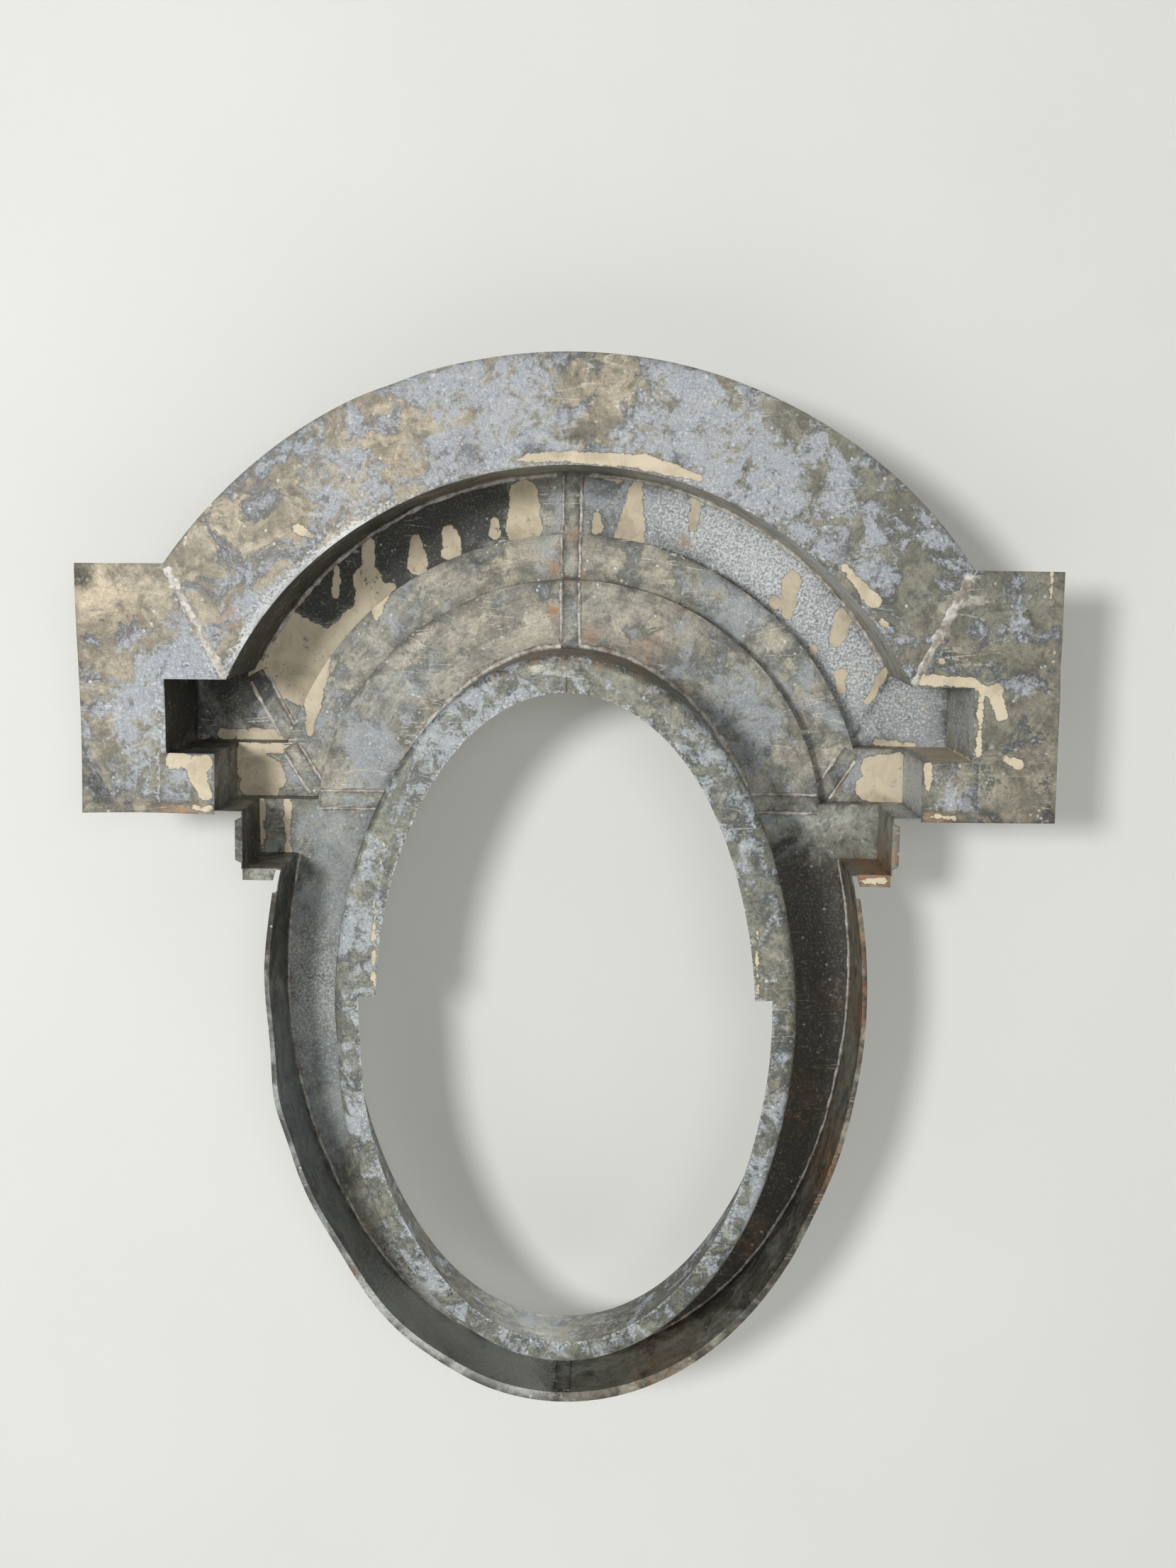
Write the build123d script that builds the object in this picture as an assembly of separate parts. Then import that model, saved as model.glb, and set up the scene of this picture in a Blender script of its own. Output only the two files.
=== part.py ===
from build123d import *
from math import acos, cos, hypot, radians, sin, sqrt
import os

# Oval dormer window surround in soldered zinc sheet, seen from behind as it is made.
# X is its width, Z is up, and Y points out to the street: y = 0 is the mounting plane
# that lies on the wall. The origin is the centre of the oval opening, in that plane.
# Every sheet is drawn as an outline in (x, z) and made solid along Y. Sizes are in mm.

# Sheet and joints
sheet = 1.1               # thickness of every zinc sheet
strap_width = 20.0        # cover strap over a butt joint
strap_thick = 1.0
bead_width = 6.0          # solder run beside a strap or along a corner
bead_height = 1.8
seam_width = 3.0          # solder that fills a butt seam in the wall flange

# Depth of the courses behind the mounting plane
inner_band_depth = 119.0  # inner band, crossettes and lower moulding
outer_band_rise = 29.0    # how much deeper the outer band lies than the inner one
cornice_rise = 38.0       # and the cornice than the outer band
outer_band_depth = inner_band_depth + outer_band_rise
cornice_depth = outer_band_depth + cornice_rise
ring_back = 30.0          # how far the ring stands into the wall

# Arch: all its courses share one centre
arch_z = 212.0
inner_band_r = 333.0
outer_band_width = 59.0
cornice_width = 82.0
flange_width = 137.0
outer_band_r = inner_band_r + outer_band_width
cornice_r = outer_band_r + cornice_width
flange_r = cornice_r + flange_width

# Heights of the straight returns beside the arch
band_bottom_z = 255.0
outer_band_height = 70.0
cornice_height = 94.0
crossette_height = 72.0
cornice_bottom_z = band_bottom_z + outer_band_height
cornice_top_z = cornice_bottom_z + cornice_height
crossette_bottom_z = band_bottom_z - crossette_height

# Ring around the opening
ring_a = 291.0            # half width and half height of its wall, outside
ring_b = 456.0
ring_bend = 12.0          # outside radius of the rolled edge
ring_flange_side = 31.0   # width of the flange below the step, at the side and at the foot
ring_flange_foot = 28.5
rebate_side = 21.5        # how much wider the flange is above the step
rebate_top = 18.0
rebate_z = 27.0           # height of the step
opening_a = ring_a - ring_flange_side
opening_b = ring_b - ring_flange_foot
rebate_a = opening_a - rebate_side
rebate_b = opening_b - rebate_top
lip_depth = 48.0          # sill lip, which tapers to nothing at each end
lip_half_width = 172.0

# Lower moulding: an oval channel around the ring
channel_z = 21.0
channel_side = 85.0       # width of its floor at the sides
channel_foot = 53.0       # and below the ring
channel_a = ring_a + channel_side
channel_b = ring_b + channel_foot + channel_z
channel_flange_side = 6.0
channel_flange_foot = 13.0
channel_flange_top_z = 150.0

# Half widths of the returns, each course reaching further than the one below it
crossette_reach = 32.0
outer_band_reach = 35.0
cornice_reach = 61.0
ear_reach = 106.0
crossette_end_x = channel_a + crossette_reach
band_end_x = crossette_end_x + outer_band_reach
cornice_end_x = band_end_x + cornice_reach
ear_x = cornice_end_x + ear_reach

# Ears: the flat side pieces of the wall flange
ear_rise = 144.0          # above the cornice return
ear_lift = 8.0            # lower edge above the foot of the outer band
ear_top_z = cornice_top_z + ear_rise
ear_bottom_z = band_bottom_z + ear_lift
lower_panel_lap = 8.0     # how far the lower panel reaches past the return
lower_panel_x = cornice_end_x + lower_panel_lap
drip_height = 13.0        # strip along the lower edge of an ear

# Narrow flanges of the crossettes
crossette_flange = 8.0
crossette_sill_flange = 14.0
flange_notch = 8.0        # where the two flanges stop short of the corner

# Punched nail holes, two in a row at each height
nail_hole_r = 2.4
nail_edge = 8.0           # from the outer edge of the arch to a hole
arch_hole_x = (166.0, 473.0)
ear_hole_edge = 13.0      # from the outer edge of an ear to its hole
ear_hole_drop = 148.0     # below the ear's top edge
ring_hole_edge = 41.0     # from the ring's side to its hole
ring_hole_lift = 23.0     # above the step in the flange

far = 2000.0


def corner(r, z):
    """Point where a circle about the arch centre meets a height, on the right side."""
    return (sqrt(r ** 2 - (z - arch_z) ** 2), z)


def arch_arc(r, end):
    """Arc from the crown down to a point on the same circle."""
    angle = acos((end[1] - arch_z) / r)
    middle = (r * sin(angle / 2), arch_z + r * cos(angle / 2))
    return ThreePointArc((0, arch_z + r), middle, end)


def disc(r):
    return Pos(0, arch_z) * Circle(r)


def oval(a, b, z=0.0):
    return Pos(0, z) * Ellipse(a, b)


def area(x0, x1, z0, z1):
    return Pos((x0 + x1) / 2, (z0 + z1) / 2) * Rectangle(x1 - x0, z1 - z0)


def outline(*points):
    return make_face(Polyline(*points, close=True))


def arch_part(r_in, r_out, z_in, z_out):
    """Right half of an arch course, from the crown to its mitre with the return."""
    inner, outer = corner(r_in, z_in), corner(r_out, z_out)
    edges = [arch_arc(r_in, inner), Line(inner, outer), arch_arc(r_out, outer)]
    return make_face(edges + [Line((0, arch_z + r_out), (0, arch_z + r_in))])


def return_part(x_end, r_in, r_out, z_in, z_out):
    """Straight return of the same course, from the mitre out to x_end."""
    return outline(corner(r_in, z_in), (x_end, z_in), (x_end, z_out), corner(r_out, z_out))


def solid(face, y0, y1):
    """A face drawn in (x, z), made solid from y0 to y1."""
    plane = Plane(origin=(0, y0, 0), x_dir=(1, 0, 0), z_dir=(0, -1, 0))
    return extrude(plane * face, amount=y0 - y1)


def band_along(start, end, offset, width):
    """Strip beside the line from start to end, offset to its left, longer at both ends."""
    length = hypot(end[0] - start[0], end[1] - start[1])
    ux, uz = (end[0] - start[0]) / length, (end[1] - start[1]) / length
    strip = []
    for along, across in ((-width, offset), (length + width, offset),
                          (length + width, offset + width), (-width, offset + width)):
        strip.append((start[0] + along * ux - across * uz, start[1] + along * uz + across * ux))
    return outline(*strip)


# ---- wall flange -------------------------------------------------------------------

def seam_line():
    """Mitre between the arch flange and the ear, from the pocket to the ear's top edge."""
    return corner(cornice_r, cornice_top_z), corner(flange_r, ear_top_z)


def seam_face():
    low, high = seam_line()
    strip = band_along(low, high, -seam_width / 2, seam_width)
    return strip & (disc(flange_r) - disc(cornice_r)) & area(0, far, cornice_top_z, ear_top_z)


def arch_flange():
    face = arch_part(cornice_r, flange_r, cornice_top_z, ear_top_z) - seam_face()
    for x in arch_hole_x:
        height = sqrt((flange_r - nail_edge) ** 2 - x ** 2)
        face -= Pos(x, arch_z + height) * Circle(nail_hole_r)
    return solid(face, 0, sheet)


def ear_plate():
    low, high = seam_line()
    face = outline(high, (ear_x, ear_top_z), (ear_x, ear_bottom_z), (lower_panel_x, ear_bottom_z),
                   (lower_panel_x, cornice_bottom_z), (cornice_end_x, cornice_bottom_z),
                   (cornice_end_x, cornice_top_z), low)
    face -= seam_face()
    face -= Pos(ear_x - ear_hole_edge, ear_top_z - ear_hole_drop) * Circle(nail_hole_r)
    return solid(face, 0, sheet)


def ear_lower_panel():
    return solid(area(band_end_x, lower_panel_x, ear_bottom_z, cornice_bottom_z), 0, sheet)


def ear_drip_strip():
    return solid(area(band_end_x, ear_x, ear_bottom_z - drip_height, ear_bottom_z), 0, sheet)


# ---- cornice -----------------------------------------------------------------------

def cornice_wall():
    face = arch_part(cornice_r, cornice_r + sheet, cornice_top_z, cornice_top_z + sheet)
    return solid(face, sheet, cornice_depth)


def cornice_face():
    face = arch_part(outer_band_r - sheet, cornice_r + sheet,
                     cornice_bottom_z - sheet, cornice_top_z + sheet)
    return solid(face, cornice_depth, cornice_depth + sheet)


def return_face():
    face = return_part(cornice_end_x + sheet, outer_band_r - sheet, cornice_r + sheet,
                       cornice_bottom_z - sheet, cornice_top_z + sheet)
    return solid(face, cornice_depth, cornice_depth + sheet)


def return_top_wall():
    face = return_part(cornice_end_x, cornice_r, cornice_r + sheet,
                       cornice_top_z, cornice_top_z + sheet)
    return solid(face, sheet, cornice_depth)


def return_end_cap():
    face = area(cornice_end_x, cornice_end_x + sheet, cornice_bottom_z - sheet, cornice_top_z + sheet)
    return solid(face, sheet, cornice_depth)


def return_bottom_wall():
    face = area(band_end_x, cornice_end_x, cornice_bottom_z - sheet, cornice_bottom_z)
    return solid(face, sheet, cornice_depth)


def step(r, z, x_end, y0, y1):
    """Narrow strip that joins two courses: round the arch, then straight along the return."""
    round_part = arch_part(r - sheet, r, z - sheet, z)
    straight_part = return_part(x_end, r - sheet, r, z - sheet, z)
    return solid(round_part, y0, y1) + solid(straight_part, y0, y1)


def cornice_step():
    return step(outer_band_r, cornice_bottom_z, band_end_x, outer_band_depth + sheet, cornice_depth)


# ---- outer band --------------------------------------------------------------------

def outer_band():
    face = arch_part(inner_band_r - sheet, outer_band_r, band_bottom_z - sheet, cornice_bottom_z)
    return solid(face, outer_band_depth, outer_band_depth + sheet)


def outer_band_return():
    face = return_part(band_end_x, inner_band_r - sheet, outer_band_r,
                       band_bottom_z - sheet, cornice_bottom_z)
    return solid(face, outer_band_depth, outer_band_depth + sheet)


def outer_band_end_cap():
    face = area(band_end_x, band_end_x + sheet, band_bottom_z - sheet, cornice_bottom_z - sheet)
    return solid(face, sheet, outer_band_depth + sheet)


def outer_band_bottom_wall():
    face = area(crossette_end_x + sheet, band_end_x, band_bottom_z - sheet, band_bottom_z)
    return solid(face, 0, outer_band_depth)


def inner_band_step():
    return step(inner_band_r, band_bottom_z, crossette_end_x + sheet,
                inner_band_depth + sheet, outer_band_depth)


# ---- inner band, crossettes and lower moulding -------------------------------------

def inner_band():
    face = (disc(inner_band_r) - oval(ring_a - sheet, ring_b - sheet)) & area(0, far, band_bottom_z, far)
    return solid(face, inner_band_depth, inner_band_depth + sheet)


def surround_face():
    """Lower face, from the ring out to the crossette and to the oval channel wall."""
    crossette = area(0, crossette_end_x + sheet, crossette_bottom_z - sheet, band_bottom_z)
    channel = oval(channel_a + sheet, channel_b + sheet, channel_z)
    channel &= area(0, far, -far, crossette_bottom_z - sheet)
    face = (crossette + channel) - oval(ring_a - sheet, ring_b - sheet)
    return solid(face, inner_band_depth, inner_band_depth + sheet)


def crossette_side_wall():
    x, z = crossette_end_x, crossette_bottom_z - sheet
    wall = solid(area(x, x + sheet, z, band_bottom_z), 0, inner_band_depth)
    flange = area(x + sheet, x + sheet + crossette_flange, z + flange_notch,
                  band_bottom_z - flange_notch)
    return wall + solid(flange, 0, sheet)


def channel_x(z, a, b):
    return a * sqrt(1 - ((z - channel_z) / b) ** 2)


def crossette_bottom_wall():
    z = crossette_bottom_z
    start = channel_x(z - sheet, channel_a, channel_b)
    wall = solid(area(start, crossette_end_x, z - sheet, z), 0, inner_band_depth)
    flange = area(start + flange_notch, crossette_end_x, z - sheet - crossette_sill_flange, z - sheet)
    return wall + solid(flange, 0, sheet)


def channel_wall():
    inside = oval(channel_a, channel_b, channel_z)
    outside = oval(channel_a + sheet, channel_b + sheet, channel_z)
    rim = oval(channel_a + channel_flange_side, channel_b + channel_flange_foot, channel_z)
    wall = (outside - inside) & area(0, far, -far, crossette_bottom_z - sheet)
    flange = (rim - inside) & area(0, far, -far, channel_flange_top_z)
    return solid(wall, 0, inner_band_depth) + solid(flange, 0, sheet)


# ---- ring and sill lip -------------------------------------------------------------

def ring_shell():
    """Wall and flange of the ring, with a rolled edge between them; its right half."""
    def drum(inset, near):
        block = solid(oval(ring_a - inset, ring_b - inset), near, inner_band_depth)
        rim = block.edges().sort_by(Axis.Y)[0]
        return fillet(rim, ring_bend - inset)
    shell = drum(0, -ring_back) - drum(sheet, sheet - ring_back)
    lower = oval(opening_a, opening_b) & area(-far, far, -far, rebate_z)
    upper = oval(rebate_a, rebate_b) & area(-far, far, rebate_z, far)
    holes = Pos(ring_a - ring_hole_edge, rebate_z + ring_hole_lift) * Circle(nail_hole_r)
    shell -= solid(lower + upper + holes, -ring_back - 1, sheet - ring_back + 1)
    return shell & solid(area(0, far, -far, far), -far, far)


def ring_slab(y0, y1):
    return ring_shell() & solid(area(-far, far, -far, far), y0, y1)


def ring_flange():
    return ring_slab(-far, ring_bend - ring_back)


def ring_wall():
    return ring_slab(ring_bend - ring_back, far)


def sill_lip():
    """Crescent strip inside the foot of the opening; its far edge is an arc in plan."""
    face = oval(opening_a + sheet, opening_b + sheet) & area(0, lip_half_width, -far, 0)
    face -= oval(opening_a, opening_b)
    near = sheet - ring_back
    depth = lip_depth - sheet
    arc_r = (lip_half_width ** 2 + depth ** 2) / (2 * depth)
    plan = Pos(0, near + depth - arc_r) * Circle(arc_r)
    return solid(face, near, near + depth) & extrude(plan, amount=far, both=True)


# ---- cover straps ------------------------------------------------------------------

def crown_strap(r_in, r_out, y):
    face = area(-strap_width / 2, strap_width / 2, arch_z, far) & (disc(r_out) - disc(r_in))
    return solid(face, y - strap_thick, y)


def crown_strap_cornice():
    return crown_strap(outer_band_r, cornice_r, cornice_depth)


def crown_strap_outer_band():
    return crown_strap(inner_band_r, outer_band_r, outer_band_depth)


def crown_strap_inner_band():
    face = area(-strap_width / 2, strap_width / 2, 0, far) & (disc(inner_band_r) - oval(ring_a, ring_b))
    return solid(face, inner_band_depth - strap_thick, inner_band_depth)


def springing_x():
    """Outer end of a springing strap, where its top edge meets the arc of the band."""
    return corner(inner_band_r, band_bottom_z + strap_width / 2)[0]


def springing_strip(z0, z1, y0, y1):
    face = area(0, springing_x(), z0, z1) - oval(ring_a, ring_b)
    return solid(face, y0, y1)


def springing_strap():
    return springing_strip(band_bottom_z - strap_width / 2, band_bottom_z + strap_width / 2,
                           inner_band_depth - strap_thick, inner_band_depth)


def mitre_strip(r_in, r_out, z_in, z_out, x_end, offset, width, y0, y1):
    """Strip along a mitre, cut off at the edges of its course."""
    strip = band_along(corner(r_in, z_in), corner(r_out, z_out), offset, width)
    course = arch_part(r_in, r_out, z_in, z_out) + return_part(x_end, r_in, r_out, z_in, z_out)
    return solid(strip & course, y0, y1)


def outer_band_mitre(offset, width, height):
    return mitre_strip(inner_band_r, outer_band_r, band_bottom_z, cornice_bottom_z, band_end_x,
                       offset, width, outer_band_depth - height, outer_band_depth)


def cornice_mitre(offset, width, height):
    return mitre_strip(outer_band_r, cornice_r, cornice_bottom_z, cornice_top_z, cornice_end_x,
                       offset, width, cornice_depth - height, cornice_depth)


def outer_band_mitre_strap():
    return outer_band_mitre(-strap_width / 2, strap_width, strap_thick)


def cornice_mitre_strap():
    return cornice_mitre(-strap_width / 2, strap_width, strap_thick)


def foot_strap():
    """Bent strap over the joint at the foot: along the face, then along the wall."""
    half = area(-strap_width / 2, strap_width / 2, -far, 0)
    inside = oval(channel_a, channel_b, channel_z)
    floor = (inside - oval(ring_a, ring_b)) & half
    wall = (inside - oval(channel_a - strap_thick, channel_b - strap_thick, channel_z)) & half
    y = inner_band_depth
    return solid(floor, y - strap_thick, y) + solid(wall, bead_width, y)


# ---- solder ------------------------------------------------------------------------

def bead_beside(maker):
    """The two runs of solder beside a strap, one on each side of it."""
    gap = strap_width / 2
    return [maker(gap, bead_width, bead_height), maker(-gap - bead_width, bead_width, bead_height)]


def crown_beads():
    courses = ((disc(cornice_r) - disc(outer_band_r), cornice_depth),
               (disc(outer_band_r) - disc(inner_band_r), outer_band_depth),
               (disc(inner_band_r) - oval(ring_a + bead_width, ring_b + bead_width), inner_band_depth))
    beads = []
    for course, y in courses:
        for x in (strap_width / 2, -strap_width / 2 - bead_width):
            strip = area(x, x + bead_width, arch_z, far) & course
            beads.append(solid(strip, y - bead_height, y))
    return beads


def corner_beads():
    """Runs of solder along the inside corners of the cornice, the ring and the channel."""
    lean = bead_width
    clear = strap_width / 2 + bead_width
    side = area(clear, far, -far, far)
    cornice = arch_part(cornice_r - lean, cornice_r, cornice_top_z - lean, cornice_top_z) & side
    cornice -= band_along(corner(outer_band_r, cornice_bottom_z), corner(cornice_r, cornice_top_z),
                          -clear, 2 * clear)
    above = area(clear, far, band_bottom_z + strap_width / 2 + bead_width, far)
    below = area(clear, far, -far, band_bottom_z - strap_width / 2 - bead_width)
    around_ring = oval(ring_a + lean, ring_b + lean) - oval(ring_a, ring_b)
    around_channel = oval(channel_a, channel_b, channel_z) - oval(channel_a - lean, channel_b - lean,
                                                                 channel_z)
    around_channel &= area(clear, far, -far, crossette_bottom_z - sheet)
    faces = [(cornice, cornice_depth)]
    for face in (around_ring & above, around_ring & below, around_channel):
        faces.append((face, inner_band_depth))
    return [solid(face, y - bead_height, y) for face, y in faces]


def springing_beads():
    top, low = band_bottom_z + strap_width / 2, band_bottom_z - strap_width / 2
    y = inner_band_depth
    return [springing_strip(top, top + bead_width, y - bead_height, y) & solid(disc(inner_band_r), 0, y),
            springing_strip(low - bead_width, low, y - bead_height, y)]


def side_beads():
    """Solder on one side, as drawn for the right."""
    beads = [solid(seam_face(), 0, sheet)]
    return beads + corner_beads() + springing_beads() + bead_beside(outer_band_mitre)


# ---- writing the nodes -------------------------------------------------------------

paired = [
    arch_flange, ear_plate, ear_lower_panel, ear_drip_strip,
    cornice_wall, cornice_face, return_face, return_top_wall, return_end_cap, return_bottom_wall,
    cornice_step, outer_band, outer_band_return, outer_band_end_cap, outer_band_bottom_wall,
    inner_band_step, inner_band, surround_face, crossette_side_wall, crossette_bottom_wall,
    channel_wall, ring_flange, ring_wall, sill_lip, springing_strap, outer_band_mitre_strap,
]
single = [crown_strap_cornice, crown_strap_outer_band, crown_strap_inner_band, foot_strap]


def save(name, shapes):
    solids = [piece for shape in shapes for piece in shape.solids()]
    export_step(solids[0] if len(solids) == 1 else Compound(solids), f"parts/{name}.step")


def flip(shape):
    return mirror(shape, about=Plane.YZ)


os.makedirs("parts", exist_ok=True)
for make in paired:
    right = make()
    save(make.__name__ + "_right", [right])
    save(make.__name__ + "_left", [flip(right)])
for make in single:
    save(make.__name__, [make()])

save("cornice_mitre_strap_left", [flip(cornice_mitre_strap())])
right_beads = side_beads()
left_beads = [flip(bead) for bead in right_beads + bead_beside(cornice_mitre)]
save("solder_right", right_beads)
save("solder_left", left_beads)
save("solder_crown", crown_beads())
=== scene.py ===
import math
import bpy
import numpy as np
from mathutils import Matrix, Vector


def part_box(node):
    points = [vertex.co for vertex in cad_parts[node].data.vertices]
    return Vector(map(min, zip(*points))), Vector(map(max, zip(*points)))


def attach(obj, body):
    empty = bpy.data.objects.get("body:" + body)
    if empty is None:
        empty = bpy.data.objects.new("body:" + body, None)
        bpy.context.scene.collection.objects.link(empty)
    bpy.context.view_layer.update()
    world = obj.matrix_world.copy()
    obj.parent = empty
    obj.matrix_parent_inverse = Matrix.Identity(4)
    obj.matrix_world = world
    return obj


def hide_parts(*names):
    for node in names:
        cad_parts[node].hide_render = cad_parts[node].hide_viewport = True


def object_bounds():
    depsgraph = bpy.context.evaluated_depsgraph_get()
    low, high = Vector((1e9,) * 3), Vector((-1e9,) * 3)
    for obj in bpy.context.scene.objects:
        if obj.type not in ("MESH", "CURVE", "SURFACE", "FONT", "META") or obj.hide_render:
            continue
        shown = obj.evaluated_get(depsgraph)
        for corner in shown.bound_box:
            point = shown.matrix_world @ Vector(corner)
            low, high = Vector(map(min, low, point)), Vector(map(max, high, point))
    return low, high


# Oval dormer window surround: hand-soldered zinc sheet, weathered, seen from its wall side.
# Metres, Z up, the street at +Y. Every sheet of the frame is rebuilt here as a thin rumpled
# shell with the same place and size, and every solder run as a ragged bead.

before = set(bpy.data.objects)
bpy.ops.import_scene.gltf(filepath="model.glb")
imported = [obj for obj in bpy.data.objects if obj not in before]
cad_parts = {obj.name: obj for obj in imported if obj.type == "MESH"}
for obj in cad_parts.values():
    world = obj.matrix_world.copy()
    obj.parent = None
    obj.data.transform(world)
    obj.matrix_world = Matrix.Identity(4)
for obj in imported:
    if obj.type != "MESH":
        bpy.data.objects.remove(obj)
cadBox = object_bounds()
print("frame loaded:", len(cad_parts), "nodes")


def edge(node, end, axis):  # one side of a node's box: end 0 low, 1 high; axis 0, 1, 2 for x, y, z
    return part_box(node)[end][axis]


# sizes of the design, read from the frame
sheet = edge("ear_plate_right", 1, 1)
flangeFootX, earX = edge("arch_flange_right", 1, 0), edge("ear_plate_right", 1, 0)
flangeTopZ, earTopZ = edge("arch_flange_right", 1, 2), edge("ear_plate_right", 1, 2)
archZ = (flangeTopZ**2 - earTopZ**2 - flangeFootX**2) / (2 * (flangeTopZ - earTopZ))
flangeR = flangeTopZ - archZ
corniceR = edge("cornice_wall_right", 1, 2) - archZ - sheet
outerBandR = edge("outer_band_right", 1, 2) - archZ
innerBandR = edge("inner_band_right", 1, 2) - archZ
corniceY = edge("cornice_face_right", 0, 1)
outerBandY = edge("outer_band_right", 0, 1)
innerBandY = edge("inner_band_right", 0, 1)
corniceTopZ = edge("return_top_wall_right", 0, 2)
corniceFootZ = edge("return_bottom_wall_right", 1, 2)
bandFootZ = edge("outer_band_bottom_wall_right", 1, 2)
crossetteFootZ = edge("crossette_bottom_wall_right", 1, 2)
corniceEndX = edge("return_end_cap_right", 0, 0)
bandEndX = edge("outer_band_end_cap_right", 0, 0)
crossetteEndX = edge("crossette_side_wall_right", 0, 0)
panelX, earFootZ = edge("ear_lower_panel_right", 1, 0), edge("ear_plate_right", 0, 2)
dripFootZ = edge("ear_drip_strip_right", 0, 2)
ringA, ringB = edge("ring_wall_right", 1, 0), edge("ring_wall_right", 1, 2)
ringY = edge("ring_flange_right", 0, 1)
ringBend = edge("ring_flange_right", 1, 1) - ringY
openingB = -edge("sill_lip_right", 0, 2) - sheet
lipEndX, lipY = edge("sill_lip_right", 1, 0), edge("sill_lip_right", 1, 1)
strapHalf = edge("crown_strap_cornice", 1, 0)
strapThick = corniceY - edge("crown_strap_cornice", 0, 1)
# not in the frame: the middle of the channel's oval, its rim at the side and the foot, and where the rim ends
channelZ, rimSide, rimFoot, rimTopZ = 0.021, 0.006, 0.013, 0.15
channelA = edge("channel_wall_right", 1, 0) - rimSide
channelB = channelZ - edge("channel_wall_right", 0, 2) - rimFoot
cell = 0.004  # spacing of the grids
hair = 0.0001  # two grid lines this close make a sharp step
sliver = 0.0004  # width of a rim where it is cut away
unpainted = 0.05  # farthest distance from paint that is kept
sharpAngle = math.radians(42)


# the camera stands in front of the wall side, a little above the middle
view = {"place": (0.0573, -2.2395, 0.5884), "pitch": 7.496, "yaw": -0.789, "roll": 0.525, "lens": 41.5,
        "sensor": 36, "farthest": 50}


def makeCamera(look):
    pitch, yaw, roll = (math.radians(look[k]) for k in ("pitch", "yaw", "roll"))
    forward = np.array([math.sin(yaw) * math.cos(pitch), math.cos(yaw) * math.cos(pitch), -math.sin(pitch)])
    level = np.array([math.cos(yaw), -math.sin(yaw), 0])
    upright = np.cross(level, forward)
    right = level * math.cos(roll) + upright * math.sin(roll)
    up = upright * math.cos(roll) - level * math.sin(roll)
    camera = bpy.data.objects.new("camera", bpy.data.cameras.new("camera"))
    camera.data.lens = look["lens"]
    camera.data.sensor_width = look["sensor"]
    camera.data.clip_end = look["farthest"]
    turn = Matrix(np.stack([right, up, -forward], -1))
    camera.matrix_world = Matrix.Translation(look["place"]) @ turn.to_4x4()
    bpy.context.scene.collection.objects.link(camera)
    bpy.context.scene.camera = camera


makeCamera(view)


# ways to bend a point: slow waves all over, and a few dents where the real sheet was knocked
rumple = {
    "waves": 9, "longest": 0.42, "shortest": 0.11, "sway": (0.0007, 0.0013, 0.0007), "seed": 7,
    "amount": 0.7, "phase": 6.283, "give": 0.3, "margin": 1.5 * sheet,
    "dents": [  # x, y, z, radius, push in x, y, z
        (-0.384, 0.0, -0.04, 0.05, 0.0025, 0.0, 0.0), (-0.38, 0.0, -0.125, 0.035, -0.003, 0.0, 0.0),
        (-0.37, 0.0, -0.18, 0.05, 0.002, 0.0, 0.0), (-0.3, 0.0, -0.33, 0.06, 0.003, 0.0, 0.002),
        (-0.16, 0.0, -0.47, 0.055, 0.0, 0.0, 0.003), (-0.398, 0.0, 0.06, 0.05, -0.002, 0.0, 0.0),
        (0.33, 0.0, -0.265, 0.06, -0.003, 0.0, 0.0), (-0.29, -0.03, -0.05, 0.04, 0.003, 0.0, 0.0),
        (-0.215, 0.0, 0.785, 0.035, 0.0, 0.003, -0.0015), (-0.12, 0.0, 0.812, 0.04, 0.0, -0.004, -0.001),
        (0.597, 0.0, 0.44, 0.022, 0.0, 0.006, 0.0), (0.56, 0.0, 0.3, 0.06, 0.0, -0.003, 0.0),
        (-0.58, 0.0, 0.54, 0.06, 0.0, -0.005, 0.0), (-0.54, 0.0, 0.27, 0.07, 0.0, 0.004, 0.001),
    ],
}


def rumpled(points, look=rumple):
    # p + sine waves along random directions + sum of push * exp(-(distance / radius)^2), kept inside the box
    rng = np.random.default_rng(look["seed"])
    out = points.copy()
    for length in np.geomspace(look["longest"], look["shortest"], look["waves"]):
        way = rng.normal(size=3)
        phase = points @ (way / np.linalg.norm(way) * 2 * math.pi / length) + rng.uniform(0, look["phase"])
        push = rng.normal(size=3) * look["sway"] * (length / look["longest"]) * look["amount"]
        out += np.sin(phase)[:, None] * push
    for dent in look["dents"]:
        near = np.exp(-(((points - dent[:3]) / dent[3]) ** 2).sum(1))
        out += near[:, None] * dent[4:]
    # sheets on the front and back of the box only bend inwards, so that both their sides move together
    depths = np.stack([points[:, 1] - cadBox[0][1], cadBox[1][1] - points[:, 1]])
    room = look["give"] * np.maximum(depths - look["margin"], 0)
    out[:, 1] = points[:, 1] + np.clip(out[:, 1] - points[:, 1], -room[0], room[1])
    return np.clip(out, cadBox[0], cadBox[1])


# plan curves in (x, z), drawn for the right half
def steps(length):
    return max(2, int(length / cell) + 2)


def corner(radius, z):  # where a circle about the arch centre meets a height
    return np.array([math.sqrt(radius**2 - (z - archZ) ** 2), z])


def arc(radius, footZ, count=150):  # (r sin a, archZ + r cos a), from the crown down to footZ
    a = np.linspace(0, math.acos((footZ - archZ) / radius), count)
    return np.stack([radius * np.sin(a), archZ + radius * np.cos(a)], -1)


def line(start, end, count=0):
    start, end = np.array(start, float), np.array(end, float)
    return np.linspace(start, end, count or steps(np.linalg.norm(end - start)))


def circleTop(radius, x):  # height at x of a circle about the arch centre
    return archZ + np.sqrt(radius**2 - x**2)


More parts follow.
